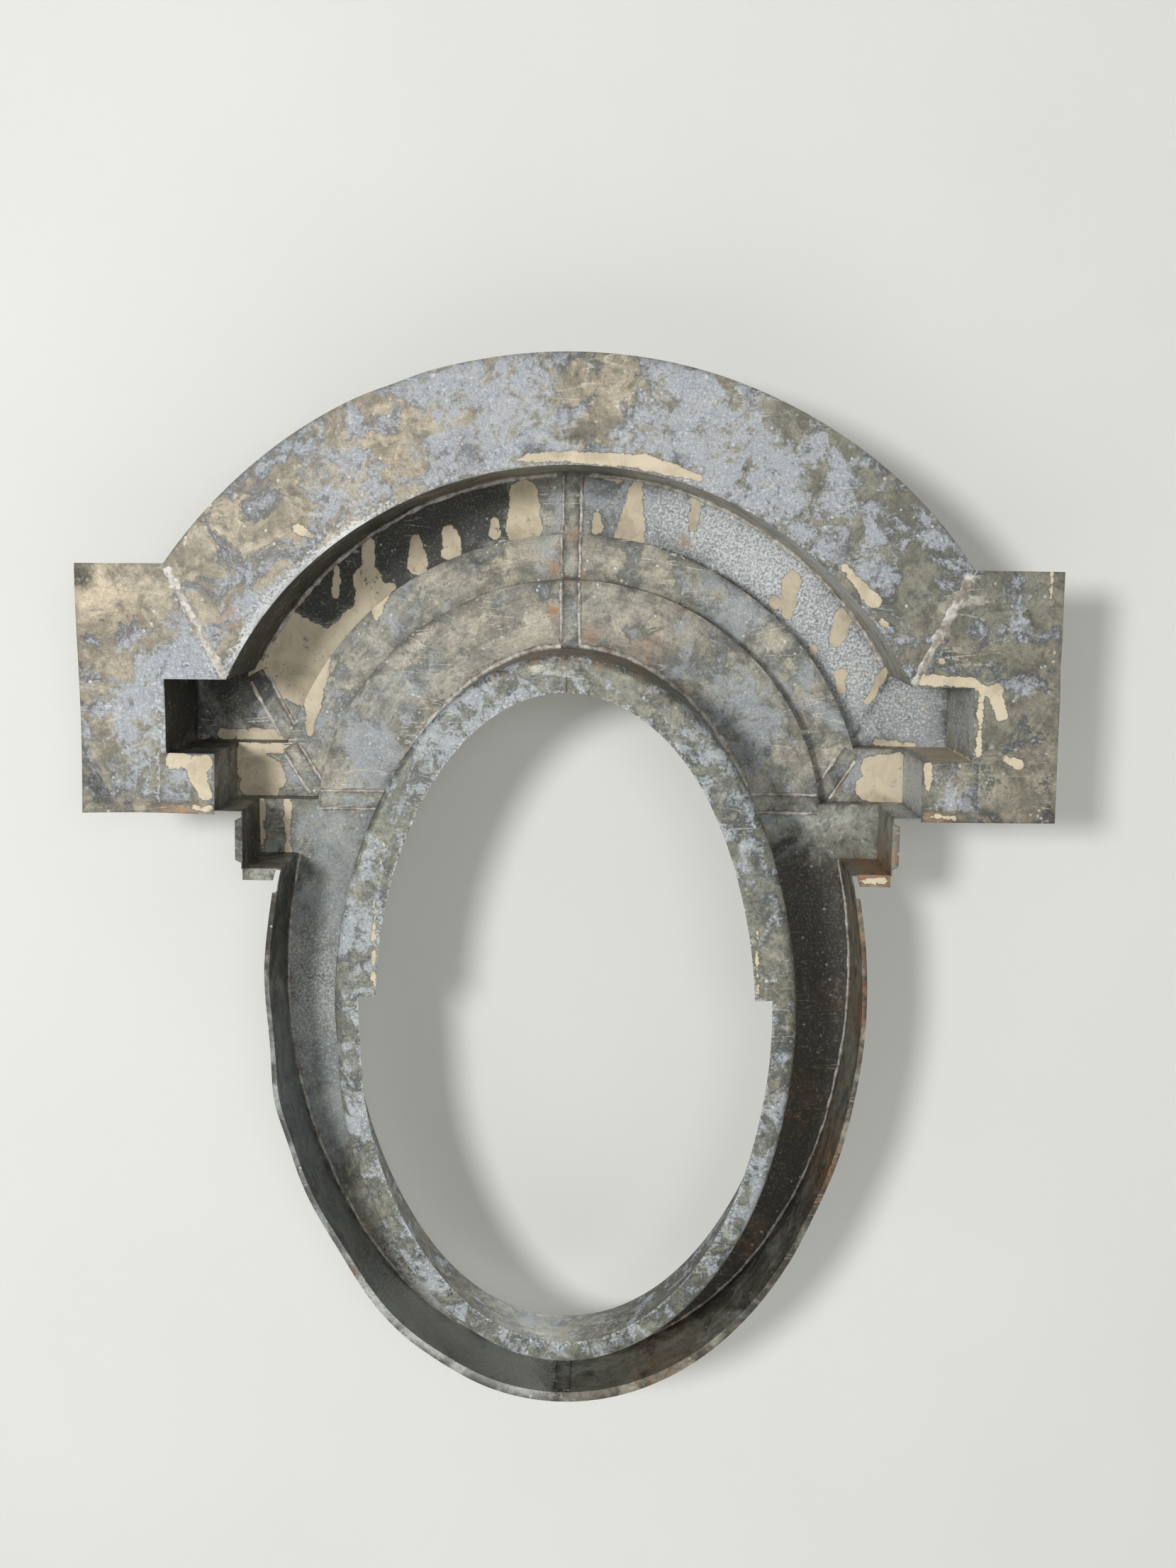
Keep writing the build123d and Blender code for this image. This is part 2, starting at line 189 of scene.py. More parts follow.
def ovalReach(a, b, z):  # half width at height z of an oval with half width a and half height b
    return a * np.sqrt(1 - (z / b) ** 2)


def oval(a, b, centreZ, angles):  # (a cos t, centreZ + b sin t)
    return np.stack([a * np.cos(angles), centreZ + b * np.sin(angles)], -1)


def outwards(path, turn):  # unit normals of a plan curve, to the right of its way for turn 1
    way = np.gradient(path, axis=0)
    way /= np.linalg.norm(way, axis=1)[:, None]
    return np.stack([way[:, 1], -way[:, 0]], -1) * turn


def stand(plan, y):  # plan points (x, z) at depth y as points in space
    return np.stack([plan[..., 0], np.broadcast_to(y, plan.shape[:-1]), plan[..., 1]], -1)


def flat(first, second, y, thick=sheet):
    # sheet in the wall's plane: P(u, v) = (1 - v) first(u) + v second(u) at depth y, its far side deeper
    v = np.linspace(0, 1, steps(np.linalg.norm(second - first, axis=1).max()))[:, None]
    near = stand(first[:, None] * (1 - v) + second[:, None] * v, y)
    return near, near + (0, thick, 0)


def upright(path, y0, y1, turn, thick=sheet):
    # sheet square to the wall: P(u, v) = path(u) at depth y0 + v (y1 - y0), its far side along the normal
    y0, y1 = (np.broadcast_to(y, len(path))[:, None] for y in (y0, y1))
    v = np.linspace(0, 1, steps((y1 - y0).max()))
    depth = y0 + (y1 - y0) * v
    shape = (*depth.shape, 2)
    near = np.broadcast_to(path[:, None], shape)
    far = near + outwards(path, turn)[:, None] * thick
    return stand(near, depth), stand(far, depth)


def folded(rim, path, y1, turn):
    # a wall with a rim bent outwards: from rim(u) to path(u) at depth 0, then down path(u) to y1
    off = path + outwards(path, turn) * sheet
    v = np.linspace(0, 1, 5)[:, None]
    w = np.linspace(0, 1, steps(y1))[None, 1:]
    depth = w * y1 + 0 * path[:, :1]
    near = np.concatenate([stand(rim[:, None] * (1 - v) + path[:, None] * v, 0.0),
                           stand(np.broadcast_to(path[:, None], (*depth.shape, 2)), depth)], 1)
    depth = sheet + w * (y1 - sheet) + 0 * path[:, :1]
    far = np.concatenate([stand(rim[:, None] * (1 - v) + off[:, None] * v, sheet),
                          stand(np.broadcast_to(off[:, None], (*depth.shape, 2)), depth)], 1)
    return near, far


def punch(shell, places, radius=0.0024):
    # round holes: the eight grid points round the one nearest to each place are drawn in to a circle
    near, far = shell[0].copy(), shell[1].copy()
    holes = []
    for x, z in places:
        gap = np.hypot(near[..., 0] - x, near[..., 2] - z)
        i, j = np.unravel_index(gap.argmin(), gap.shape)
        alongU = near[i + 1, j] - near[i - 1, j]
        alongV = near[i, j + 1] - near[i, j - 1]
        alongU, alongV = alongU / np.linalg.norm(alongU), alongV / np.linalg.norm(alongV)
        for du in (-1, 0, 1):
            for dv in (-1, 0, 1):
                if du or dv:
                    way = (du * alongU + dv * alongV) / math.hypot(du, dv)
                    near[i + du, j + dv] = near[i, j] + way * radius
                    far[i + du, j + dv] = near[i, j] + way * radius + (0, sheet, 0)
        holes.append((i, j))
    return near, far, holes


def shellFaces(n, m, holes=()):
    # quads of the near grid, the far grid turned round, the strip that joins their edges, and the holes' rims
    index = np.arange(n * m).reshape(n, m)
    quads = np.stack([index[:-1, :-1], index[1:, :-1], index[1:, 1:], index[:-1, 1:]], -1)
    keep = np.ones(quads.shape[:2], bool)
    loops = [np.concatenate([index[:, 0], index[-1, 1:], index[-2::-1, -1], index[0, -2::-1]])]
    for i, j in holes:
        keep[i - 1:i + 1, j - 1:j + 1] = False
        block = index[i - 1:i + 2, j - 1:j + 2]
        loops.append(np.concatenate([block[0], block[1:, 2], block[2, 1::-1], block[1::-1, 0]]))
    near = quads[keep]
    rims = [np.stack([a[:-1], a[:-1] + n * m, a[1:] + n * m, a[1:]], -1) for a in loops]
    return np.concatenate([near, near[:, ::-1] + n * m, *rims])


def facing(points, faces):  # turned so that the closed mesh has a positive volume
    a, b, c, d = (points[faces[:, k]] for k in range(4))
    volume = (a * np.cross(b, c)).sum() + (a * np.cross(c, d)).sum()
    return faces if volume > 0 else faces[:, ::-1]


def edgeDistance(near):
    # for each grid point: its distance from the first outline, along the outline, and from the nearest edge
    def run(axis):
        part = np.linalg.norm(np.diff(near, axis=axis), axis=2)
        start = np.insert(part.cumsum(axis), 0, 0, axis)
        return start, start.take([-1], axis) - start
    fromFirst, fromSecond = run(1)
    along = run(0)
    return fromFirst, along[0], np.minimum(np.minimum(fromFirst, fromSecond), np.minimum(*along))


def wash(points, spots):  # sum of soft spots (x, z, radius, amount)
    total = np.zeros(len(points))
    for x, z, radius, amount in spots:
        total += amount * np.exp(-((points[:, 0] - x) ** 2 + (points[:, 2] - z) ** 2) / radius**2)
    return total


def strokes(points, runs):
    # signed distance to the nearest run of paint: a capsule from (x0, z0) to (x1, z1), of radius r0 to r1
    nearest = np.full(len(points), unpainted)
    for x0, z0, x1, z1, r0, r1 in runs:
        way = np.array([x1 - x0, z1 - z0])
        rel = points[:, [0, 2]] - (x0, z0)
        t = np.clip(rel @ way / (way @ way + 1e-9), 0, 1)
        reach = np.linalg.norm(rel - t[:, None] * way, axis=1) - (r0 + (r1 - r0) * t)
        nearest = np.minimum(nearest, reach)
    return nearest


def lay(name, shells, look, finish, nodes):
    # one piece from its shells; each point gets its weathering, with the painted shade and light of some
    # washes, as numbers, and two surface coordinates
    points, faces, marks = [], [], []
    for near, far, *holes in shells:
        start = sum(map(len, points))
        both = np.concatenate([near.reshape(-1, 3), far.reshape(-1, 3)])
        half = near.shape[0] * near.shape[1]
        across, along, border = (np.tile(d.ravel(), 2) for d in edgeDistance(near))
        seen = np.repeat([1.0, 0.0], half)  # paint runs and the washes are on the wall side only
        painted = strokes(both, look.get("paint", []))
        mark = {
            "warm": look.get("warmAll", 0.3) + wash(both, look.get("warm", [])),
            "bloomAndLight": look.get("bloomAll", 0.4) + wash(both, look.get("bloomAndLight", [])) * seen,
            "dark": look.get("darkAll", 0.0) + wash(both, look.get("dark", [])) * seen,
            "rust": wash(both, look.get("rust", [])) * seen,
            "paint": np.where(seen > 0, painted, unpainted),
            "grimeAndShade": look.get("grimeAndShade", 0.6) * np.exp(-border / look.get("grimeAndShadeWidth", 0.006)),
            "chalkAndLight": (look.get("chalkAll", 0.0) + wash(both, look.get("chalkAndLight", []))) * seen
            * np.exp(-across / look.get("chalkAndLightWidth", 0.02)),
            "along": along, "across": across,
        }
        marks.append(mark)
        points.append(both)
        faces.append(shellFaces(*near.shape[:2], *holes) + start)
    points, faces = np.concatenate(points), np.concatenate(faces)
    marks = {k: np.concatenate([m[k] for m in marks]) for k in marks[0]}
    makeMesh(name, points, faces, marks, finish, nodes)


def makeMesh(name, points, faces, marks, finish, nodes):
    material, slot = finishes[finish]
    used = np.unique(faces)  # the middle of a punched hole is left out
    faces = np.searchsorted(used, faces)
    points = rumpled(points[used])
    faces = facing(points, faces)
    mesh = bpy.data.meshes.new(name)
    mesh.from_pydata(points.tolist(), [], faces.tolist())
    for key, values in marks.items():
        mesh.attributes.new(key, "FLOAT", "POINT").data.foreach_set("value", values[used].astype(np.float32))
    mesh.polygons.foreach_set("use_smooth", np.ones(len(mesh.polygons), bool))
    mesh.set_sharp_from_angle(angle=sharpAngle)
    mesh.materials.append(material)
    piece = bpy.data.objects.new(name, mesh)
    bpy.context.scene.collection.objects.link(piece)
    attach(piece, "root")
    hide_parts(*nodes)


def layPair(name, shells, look, finish, nodes=None):
    # the right piece as drawn, and the left one turned over at x = 0
    for hand, flip in (("right", 1), ("left", -1)):
        turned = [(near * (flip, 1, 1), far * (flip, 1, 1), *holes) for near, far, *holes in shells]
        lay(f"{name}_sheet_{hand}", turned, look, finish, [f"{n}_{hand}" for n in nodes or [name]])


# materials
def linear(hexColour):
    channels = [int(hexColour[k:k + 2], 16) / 255 for k in (1, 3, 5)]
    return (*[c / 12.92 if c <= 0.04045 else ((c + 0.055) / 1.055) ** 2.4 for c in channels], 1)


def startMaterial(name):
    # a material with an empty node tree, and short ways to fill it
    material = bpy.data.materials.new(name)
    material.use_nodes = True
    tree = material.node_tree
    tree.nodes.clear()

    def add(kind, inputs, **settings):  # an input is a value or another node's output
        node = tree.nodes.new("ShaderNode" + kind)
        for key, value in settings.items():
            setattr(node, key, value)
        for key, value in inputs.items():
            if isinstance(value, bpy.types.NodeSocket):
                tree.links.new(value, node.inputs[key])
            else:
                node.inputs[key].default_value = value
        return node

    where = add("TexCoord", {}).outputs["Object"]

    def noise(size, detail, rough=0.5, twist=0.0, at=where):  # pattern size in metres
        return add("TexNoise", {"Vector": at, "Scale": 1 / size, "Detail": detail, "Roughness": rough,
                                "Distortion": twist}).outputs["Fac"]

    def ramp(value, low, high, top=1.0):  # smooth step from low to high
        return add("MapRange", {"Value": value, "From Min": low, "From Max": high, "To Max": top},
                   interpolation_type="SMOOTHSTEP").outputs[0]

    def mix(amount, a, b, blend="MIX"):
        return add("Mix", {0: amount, 6: a, 7: b}, data_type="RGBA", blend_type=blend).outputs[2]

    def cover(shader):
        add("OutputMaterial", {"Surface": shader})
        return material

    return where, add, noise, ramp, mix, cover


def weatheredZinc(name, look):
    # Rolled zinc sheet that stood outdoors for decades: bare metal shows only in scratches. Over it lie a
    # dull grey-brown patina, clouds of blue-grey carbonate 20 to 60 mm wide with chalky white
    # grains of about 1 mm, dark sooty stains, rust from nails, and runs of cream oil paint. Some pieces'
    # dark, bloom and chalk washes and their edge grime also carry painted shade and painted light.
    where, add, noise, ramp, mix, cover = startMaterial(name)

    def calc(operation, a, b=0.0, c=0.0, clamp=False):
        return add("Math", {0: a, 1: b, 2: c}, operation=operation, use_clamp=clamp).outputs[0]

    def times(a, b, clamp=False):
        return calc("MULTIPLY", a, b, clamp=clamp)

    def scaled(a, b, c, clamp=False):  # a b + c
        return calc("MULTIPLY_ADD", a, b, c, clamp)

    def centred(value):  # a noise that swings about zero
        return calc("SUBTRACT", value, 0.5)

    def dimmed(shade, colour):  # the colour times a grey
        return mix(1.0, colour, add("CombineColor", {0: shade, 1: shade, 2: shade}).outputs[0], "MULTIPLY")

    mark = {k: add("Attribute", {}, attribute_name=k).outputs["Fac"]
            for k in ("warm", "bloomAndLight", "dark", "rust", "paint", "grimeAndShade", "chalkAndLight", "along", "across")}
    patches = noise(0.17, 3)
    clouds = noise(look["cloud"], 10, 0.72, 0.4)
    stains = noise(0.045, 8, 0.68, 0.6)
    mottle = noise(0.014, 7, 0.68)
    grit = noise(look["grit"], 4, 0.75)
    fine = noise(0.0022, 3, 0.7)
    lengthwise = add("CombineXYZ", {"X": times(mark["along"], 0.06), "Y": mark["across"]}).outputs[0]
    streaks = noise(0.006, 6, 0.65, at=lengthwise)

    # bare patina: cool or tan in patches 170 mm wide, rubbed lengthwise, with small dark pits
    tan = calc("ADD", mark["warm"], times(centred(patches), 1.6))
    tan = scaled(centred(stains), 1.6, tan)
    tan = scaled(centred(mottle), 0.5, tan, clamp=True)
    colour = mix(tan, linear(look["cool"]), linear(look["tan"]))
    shade = scaled(mottle, 0.9, scaled(stains, 1.1, -0.15))
    shade = scaled(centred(streaks), look["rubbed"], shade)
    shade = calc("SUBTRACT", shade, times(ramp(grit, 0.38, 0.28), 0.45))
    worn = ramp(noise(0.055, 10, 0.7, 0.6), 0.46, 0.54)
    shade = calc("MAXIMUM", scaled(worn, 0.26, calc("SUBTRACT", shade, 0.13)), 0.12)
    colour = dimmed(shade, colour)

    # blue-grey clouds with a dark slate border, chalky where thickest; where a piece's bloom washes lift a
    # floor or wall out of its shadow, the clouds are painted light
    cloudsAndLight = scaled(mark["bloomAndLight"], 0.3, scaled(grit, 0.14, times(clouds, 1.03)))
    slate = times(ramp(cloudsAndLight, 0.62, 0.69), ramp(stains, 0.42, 0.58))
    colour = mix(times(slate, 0.8), colour, linear(look["slate"]))
    bloomAndLightCover = times(ramp(cloudsAndLight, 0.69, 0.79), look["veil"])
    bloomAndLightCover = times(bloomAndLightCover, scaled(fine, 0.6, 0.65), clamp=True)
    islands = times(ramp(noise(0.021, 7, 0.7, 0.3), 0.53, 0.61), look["islands"])
    bloomAndLightCover = calc("SUBTRACT", bloomAndLightCover, times(islands, bloomAndLightCover))
    colour = mix(bloomAndLightCover, colour, linear(look["bloomAndLight"]))
    # chalky white grains, and painted light where a piece's chalk washes brighten a wall that faces the light
    chalkAndLightCover = times(ramp(scaled(mark["chalkAndLight"], 0.35, grit), 0.54, 0.66),
                   ramp(scaled(mark["chalkAndLight"], 0.7, cloudsAndLight), 0.78, 0.94))
    colour = mix(times(chalkAndLightCover, look["chalkiness"]), colour, linear(look["chalkAndLight"]))

    # dark sooty stains, and painted shade where a piece's dark washes lie on its shaded side; negative dark
    # washes are painted light
    sootAndShade = scaled(mark["dark"], 0.75, times(centred(stains), 1.4))
    sootAndShade = calc("MAXIMUM", ramp(sootAndShade, 0.15, 0.62, 0.92), ramp(stains, 0.58, 0.72, look["soot"]))
    sootAndShade = times(sootAndShade, scaled(ramp(grit, 0.5, 0.68), -0.55, 1.0))
    colour = mix(sootAndShade, colour, linear(look["deep"]))
    # dark grime along the sheet edges; on the channel wall it is also painted shade over the rim
    grimeAndShadeAmount = times(mark["grimeAndShade"], ramp(stains, 0.36, 0.6), clamp=True)
    colour = mix(grimeAndShadeAmount, colour, linear(look["grimeAndShade"]))

    # scratches are thin contour lines of a stretched noise, in a few groups
    groups = ramp(noise(0.09, 2, 0.5), 0.52, 0.6)
    scratched = None
    for turn, level in (((0, 0.5, 0), 0.45), ((0, -0.9, 0), 0.55), ((0, 1.3, 0), 0.5)):
        turned = add("Mapping", {"Vector": where, "Rotation": turn, "Scale": (1 / 9, 1, 1)}).outputs[0]
        thread = noise(0.03, 1, 0.4, at=turned)
        thin = calc("SUBTRACT", 1.0, ramp(calc("ABSOLUTE", calc("SUBTRACT", thread, level)), 0.002, 0.009))
        scratched = calc("MAXIMUM", thin, scratched if scratched else 0.0)
    scratched = times(scratched, times(groups, ramp(mottle, 0.42, 0.55)))
    colour = mix(times(scratched, look["scratched"]), colour, linear(look["scratch"]))

    # white specks 2 to 5 mm wide
    speck = add("TexVoronoi", {"Vector": where, "Scale": 1 / 0.014}, feature="F1")
    dots = times(ramp(speck.outputs["Distance"], 0.17, 0.09), ramp(noise(0.06, 2, 0.5), 0.46, 0.58))
    colour = mix(times(dots, 0.7), colour, linear(look["chalkAndLight"]))

    # grain of 2 to 5 mm over everything
    grain = scaled(fine, 0.9, scaled(grit, 0.7, 0.2))
    colour = dimmed(grain, colour)

    colour = add("Gamma", {"Color": colour, "Gamma": look["contrast"]}).outputs[0]

    rusty = times(mark["rust"], ramp(mottle, 0.38, 0.6), clamp=True)
    rusty = calc("MAXIMUM", rusty, times(ramp(noise(0.011, 3, 0.6), 0.735, 0.76), 0.7))
    colour = mix(rusty, colour, mix(mottle, linear("#7A4E30"), linear("#B98A5E")))

    # cream paint, with a ragged edge and a thin dark outline where it lifts
    reach = scaled(centred(mottle), 0.016, mark["paint"])
    reach = scaled(centred(fine), 0.0035, reach)
    flaked = ramp(scaled(grit, 0.5, mottle), 0.86, 0.98)
    painted = times(ramp(reach, 0.0004, -0.0004), calc("SUBTRACT", 1.0, flaked))
    outline = times(ramp(calc("ABSOLUTE", reach), 0.0022, 0.0004), 0.55)
    colour = mix(outline, colour, linear(look["deep"]))
    cream = mix(ramp(stains, 0.4, 0.7), linear("#D3C6AC"), linear("#B3A68C"))
    colour = mix(painted, colour, cream)

    covered = calc("MAXIMUM", painted, calc("MAXIMUM", bloomAndLightCover, sootAndShade))
    rough = scaled(grit, 0.22, scaled(covered, 0.14, look["rough"] - 0.1), clamp=True)
    metal = times(calc("SUBTRACT", 1.0, covered, clamp=True), look["metal"])
    height = scaled(painted, 0.5, scaled(chalkAndLightCover, 0.35, times(grit, 0.5)))
    height = scaled(scratched, -0.3, scaled(mottle, 0.9, height))
    bump = add("Bump", {"Strength": 0.55, "Distance": 0.0007, "Height": height})
    zinc = add("BsdfPrincipled", {"Base Color": colour, "Roughness": rough, "Metallic": metal,
                                        "Normal": bump.outputs[0]})
    return cover(zinc.outputs[0])


usualLook = {"grit": 0.0035, "metal": 0.25, "chalkiness": 0.75, "islands": 0.5, "contrast": 1.3,
             "scratched": 0.5, "rubbed": 0.5, "rough": 0.5}
zincLooks = {
    "flange": {"cool": "#A09E90", "tan": "#C4B9A6", "bloomAndLight": "#BEC2C7", "chalkAndLight": "#D6D8D9",
               "deep": "#4C4C46", "slate": "#5A5F64", "grimeAndShade": "#58544A", "scratch": "#D3D0C6",
               "cloud": 0.045, "grit": 0.0045, "veil": 0.85, "soot": 0.35, "rubbed": 0.25, "rough": 0.52,
               "islands": 0.75},
    "moulding": {"cool": "#B0AFA5", "tan": "#B7B09F", "bloomAndLight": "#B3B8BC", "chalkAndLight": "#D9DCDD",
                 "deep": "#3A3A35", "slate": "#6A6E6A", "grimeAndShade": "#4A463E", "scratch": "#CDCBC2",
                 "cloud": 0.05, "veil": 0.75, "chalkiness": 0.85, "soot": 0.25, "rubbed": 0.8,
                 "scratched": 0.7, "contrast": 1.2},
    "channel": {"cool": "#B0B3A9", "tan": "#A0967F", "bloomAndLight": "#A3AAAD", "chalkAndLight": "#C9CAC4",
                "deep": "#3D3A31", "slate": "#565A57", "grimeAndShade": "#3B352C", "scratch": "#A9A598",
                "cloud": 0.055, "veil": 0.6, "chalkiness": 0.7, "soot": 0.4, "scratched": 0.6,
                "metal": 0.2, "contrast": 1.1},
    "ring": {"cool": "#9EA096", "tan": "#A8A494", "bloomAndLight": "#BDC2C7", "chalkAndLight": "#D3D6D8",
             "deep": "#50534D", "slate": "#5C6161", "grimeAndShade": "#5B5A50", "scratch": "#C9CAC5",
             "cloud": 0.03, "veil": 0.8, "soot": 0.45, "rough": 0.48, "metal": 0.3, "islands": 0.8},
}
zinc = {k: weatheredZinc("weathered_zinc_" + k, {**usualLook, **look}) for k, look in zincLooks.items()}
print("materials made:", len(zinc))


def softSolder(name, look):
    # Tin-lead solder run by hand: dull pale grey with brown dirt in patches, and lumps 3 to 8 mm long
    _, add, noise, ramp, mix, cover = startMaterial(name)
    lumps = noise(0.007, 6, 0.65)
    body = add("ValToRGB", {"Fac": lumps})
    for stop, place, colour in zip(body.color_ramp.elements, (0.35, 0.65), (look["low"], look["high"])):
        stop.position, stop.color = place, linear(colour)
    colour = mix(ramp(noise(0.025, 5, 0.6), 0.5, 0.62, 0.6), body.outputs[0], linear(look["dirt"]))
    rough = add("MapRange", {"Value": lumps, "To Min": 0.4, "To Max": 0.7}).outputs[0]
    bump = add("Bump", {"Strength": 0.6, "Distance": 0.0008, "Height": lumps})
    shader = add("BsdfPrincipled", {"Base Color": colour, "Roughness": rough, "Metallic": 0.3,
                                    "Normal": bump.outputs[0]})
    return cover(shader.outputs[0])


solderLook = {"low": "#88837A", "high": "#D2CFC7", "dirt": "#6A5440"}

# what each kind of piece is made of: a material and a slot
finishes = {
    "flange": (zinc["flange"], "zinc_flange"),
    "moulding": (zinc["moulding"], "zinc_moulding"),
    "channel": (zinc["channel"], "zinc_moulding"),
    "ring": (zinc["ring"], "zinc_ring"),
    "strap": (zinc["moulding"], "zinc_strap"),
    "solder": (softSolder("soft_solder_run", solderLook), "soft_solder"),
}


# the wall flange: arch, ears, the small panels below the returns and their drip strips
archFlange = {
    "warmAll": 0.3, "bloomAll": 0.34, "grimeAndShade": 0.55, "grimeAndShadeWidth": 0.003, "chalkAll": 0.25,
    "chalkAndLightWidth": 0.011,
    "warm": [(-0.4, 0.56, 0.16, 0.5), (-0.22, 0.74, 0.12, 0.5), (0.04, 0.78, 0.07, 0.35),
        (0.4, 0.55, 0.24, -0.35), (0.14, 0.76, 0.08, 0.35)],
    "bloomAndLight": [(-0.09, 0.74, 0.08, 0.55), (-0.27, 0.66, 0.06, 0.25), (0.17, 0.71, 0.07, 0.35),
        (0.27, 0.67, 0.08, 0.35), (-0.38, 0.5, 0.06, 0.35), (0.35, 0.57, 0.06, 0.2),
        (0.04, 0.78, 0.05, -0.5), (-0.42, 0.6, 0.07, -0.25), (0.02, 0.715, 0.04, 0.3),
        (0.12, 0.76, 0.07, 0.3)],
    "dark": [(-0.12, 0.702, 0.03, 0.5), (-0.05, 0.7, 0.02, 0.5), (0.02, 0.715, 0.03, 0.45),
        (0.13, 0.69, 0.022, 0.4), (0.34, 0.585, 0.02, 0.5), (0.4, 0.52, 0.03, 0.35),
        (-0.33, 0.6, 0.02, 0.4)],
    "rust": [(-0.42, 0.5, 0.012, 0.8)],
    "chalkAndLight": [(-0.37, 0.49, 0.08, 0.8), (-0.28, 0.61, 0.07, 0.5)],
    "paint": [(-0.063, 0.693, 0, 0.697, 0.004, 0.007), (0, 0.696, 0.09, 0.69, 0.007, 0.008),
        (0.09, 0.69, 0.158, 0.672, 0.01, 0.004), (0.34, 0.565, 0.378, 0.525, 0.004, 0.009),
        (-0.335, 0.606, -0.315, 0.598, 0.005, 0.004), (0.388, 0.5, 0.392, 0.497, 0.004, 0.004)],
}
archHoleR, archHoleX = 0.603, (0.166, 0.473)
archHoles = [(x, circleTop(archHoleR, x)) for x in archHoleX]
flangeShell = flat(arc(corniceR, corniceTopZ), arc(flangeR, earTopZ), 0.0)
layPair("arch_flange", [punch(flangeShell, archHoles)], archFlange, "flange")

earPlate = {
    "warmAll": 0.25, "bloomAll": 0.25, "grimeAndShade": 0.5, "grimeAndShadeWidth": 0.003, "chalkAll": 0.4,
    "chalkAndLightWidth": 0.008,
    "warm": [(-0.55, 0.5, 0.09, 0.6), (-0.6, 0.33, 0.12, 0.1), (0.56, 0.42, 0.25, -0.2)],
    "bloomAndLight": [(-0.49, 0.43, 0.07, 0.55), (-0.53, 0.35, 0.06, 0.4), (-0.56, 0.54, 0.06, -0.5),
        (0.5, 0.5, 0.05, 0.1), (0.56, 0.51, 0.022, 0.5), (0.565, 0.41, 0.02, 0.5),
        (0.57, 0.32, 0.1, -0.25)],
    "dark": [(-0.6, 0.545, 0.022, 0.45), (-0.58, 0.3, 0.07, 0.22), (0.58, 0.4, 0.16, 0.12),
        (0.5, 0.5, 0.08, 0.12), (-0.605, 0.55, 0.02, 0.35), (0.47, 0.47, 0.025, 0.25),
        (-0.6, 0.28, 0.03, 0.3), (0.6, 0.27, 0.04, 0.3)],
    "paint": [(0.44, 0.428, 0.5, 0.426, 0.007, 0.006), (0.5, 0.424, 0.52, 0.415, 0.006, 0.006),
        (0.512, 0.415, 0.511, 0.335, 0.004, 0.003), (0.53, 0.415, 0.538, 0.385, 0.01, 0.007),
        (0.594, 0.56, 0.594, 0.53, 0.0025, 0.001), (0.545, 0.33, 0.546, 0.33, 0.004, 0.004),
        (0.553, 0.327, 0.56, 0.323, 0.005, 0.007), (0.46, 0.452, 0.462, 0.452, 0.004, 0.004)],
}
seamFoot, seamTop = corner(corniceR, corniceTopZ), corner(flangeR, earTopZ)
earLeft = np.concatenate([line((panelX, earFootZ), (panelX, corniceFootZ - hair)),
                          line((corniceEndX, corniceFootZ), (corniceEndX, corniceTopZ - hair)),
                          line(seamFoot, seamTop)])
earRight = np.stack([np.full(len(earLeft), earX), earLeft[:, 1]], -1)
earHoleEdge, earHoleDrop = 0.013, 0.148
earHole = [(earX - earHoleEdge, earTopZ - earHoleDrop)]
layPair("ear_plate", [punch(flat(earLeft, earRight, 0.0), earHole)], earPlate, "flange")

lowerPanel = {
    "warmAll": 0.25, "bloomAll": 0.3, "grimeAndShade": 0.7, "chalkAll": 0.2,
    "bloomAndLight": [(0.48, 0.275, 0.03, 0.5), (-0.48, 0.3, 0.04, 0.4)],
    "dark": [(0.5, 0.29, 0.03, 0.3)],
    "paint": [(-0.495, 0.315, -0.455, 0.313, 0.01, 0.01), (-0.465, 0.3, -0.455, 0.275, 0.012, 0.008),
        (0.45, 0.318, 0.45, 0.29, 0.006, 0.003)],
}
panelShell = flat(*(line((x, earFootZ), (x, corniceFootZ)) for x in (bandEndX, panelX)), 0.0)
layPair("ear_lower_panel", [panelShell], lowerPanel, "flange")
dripStrip = {
    "warmAll": 0.5, "bloomAll": 0.2, "grimeAndShade": 0.8,
    "rust": [(0.46, 0.257, 0.03, 0.5), (-0.49, 0.257, 0.03, 0.5)],
    "paint": [(0.455, 0.258, 0.485, 0.256, 0.003, 0.002), (-0.45, 0.258, -0.47, 0.257, 0.004, 0.002)],
}
stripShell = flat(*(line((x, dripFootZ), (x, earFootZ)) for x in (bandEndX, earX)), 0.0)
layPair("ear_drip_strip", [stripShell], dripStrip, "flange")
print("wall flange made")

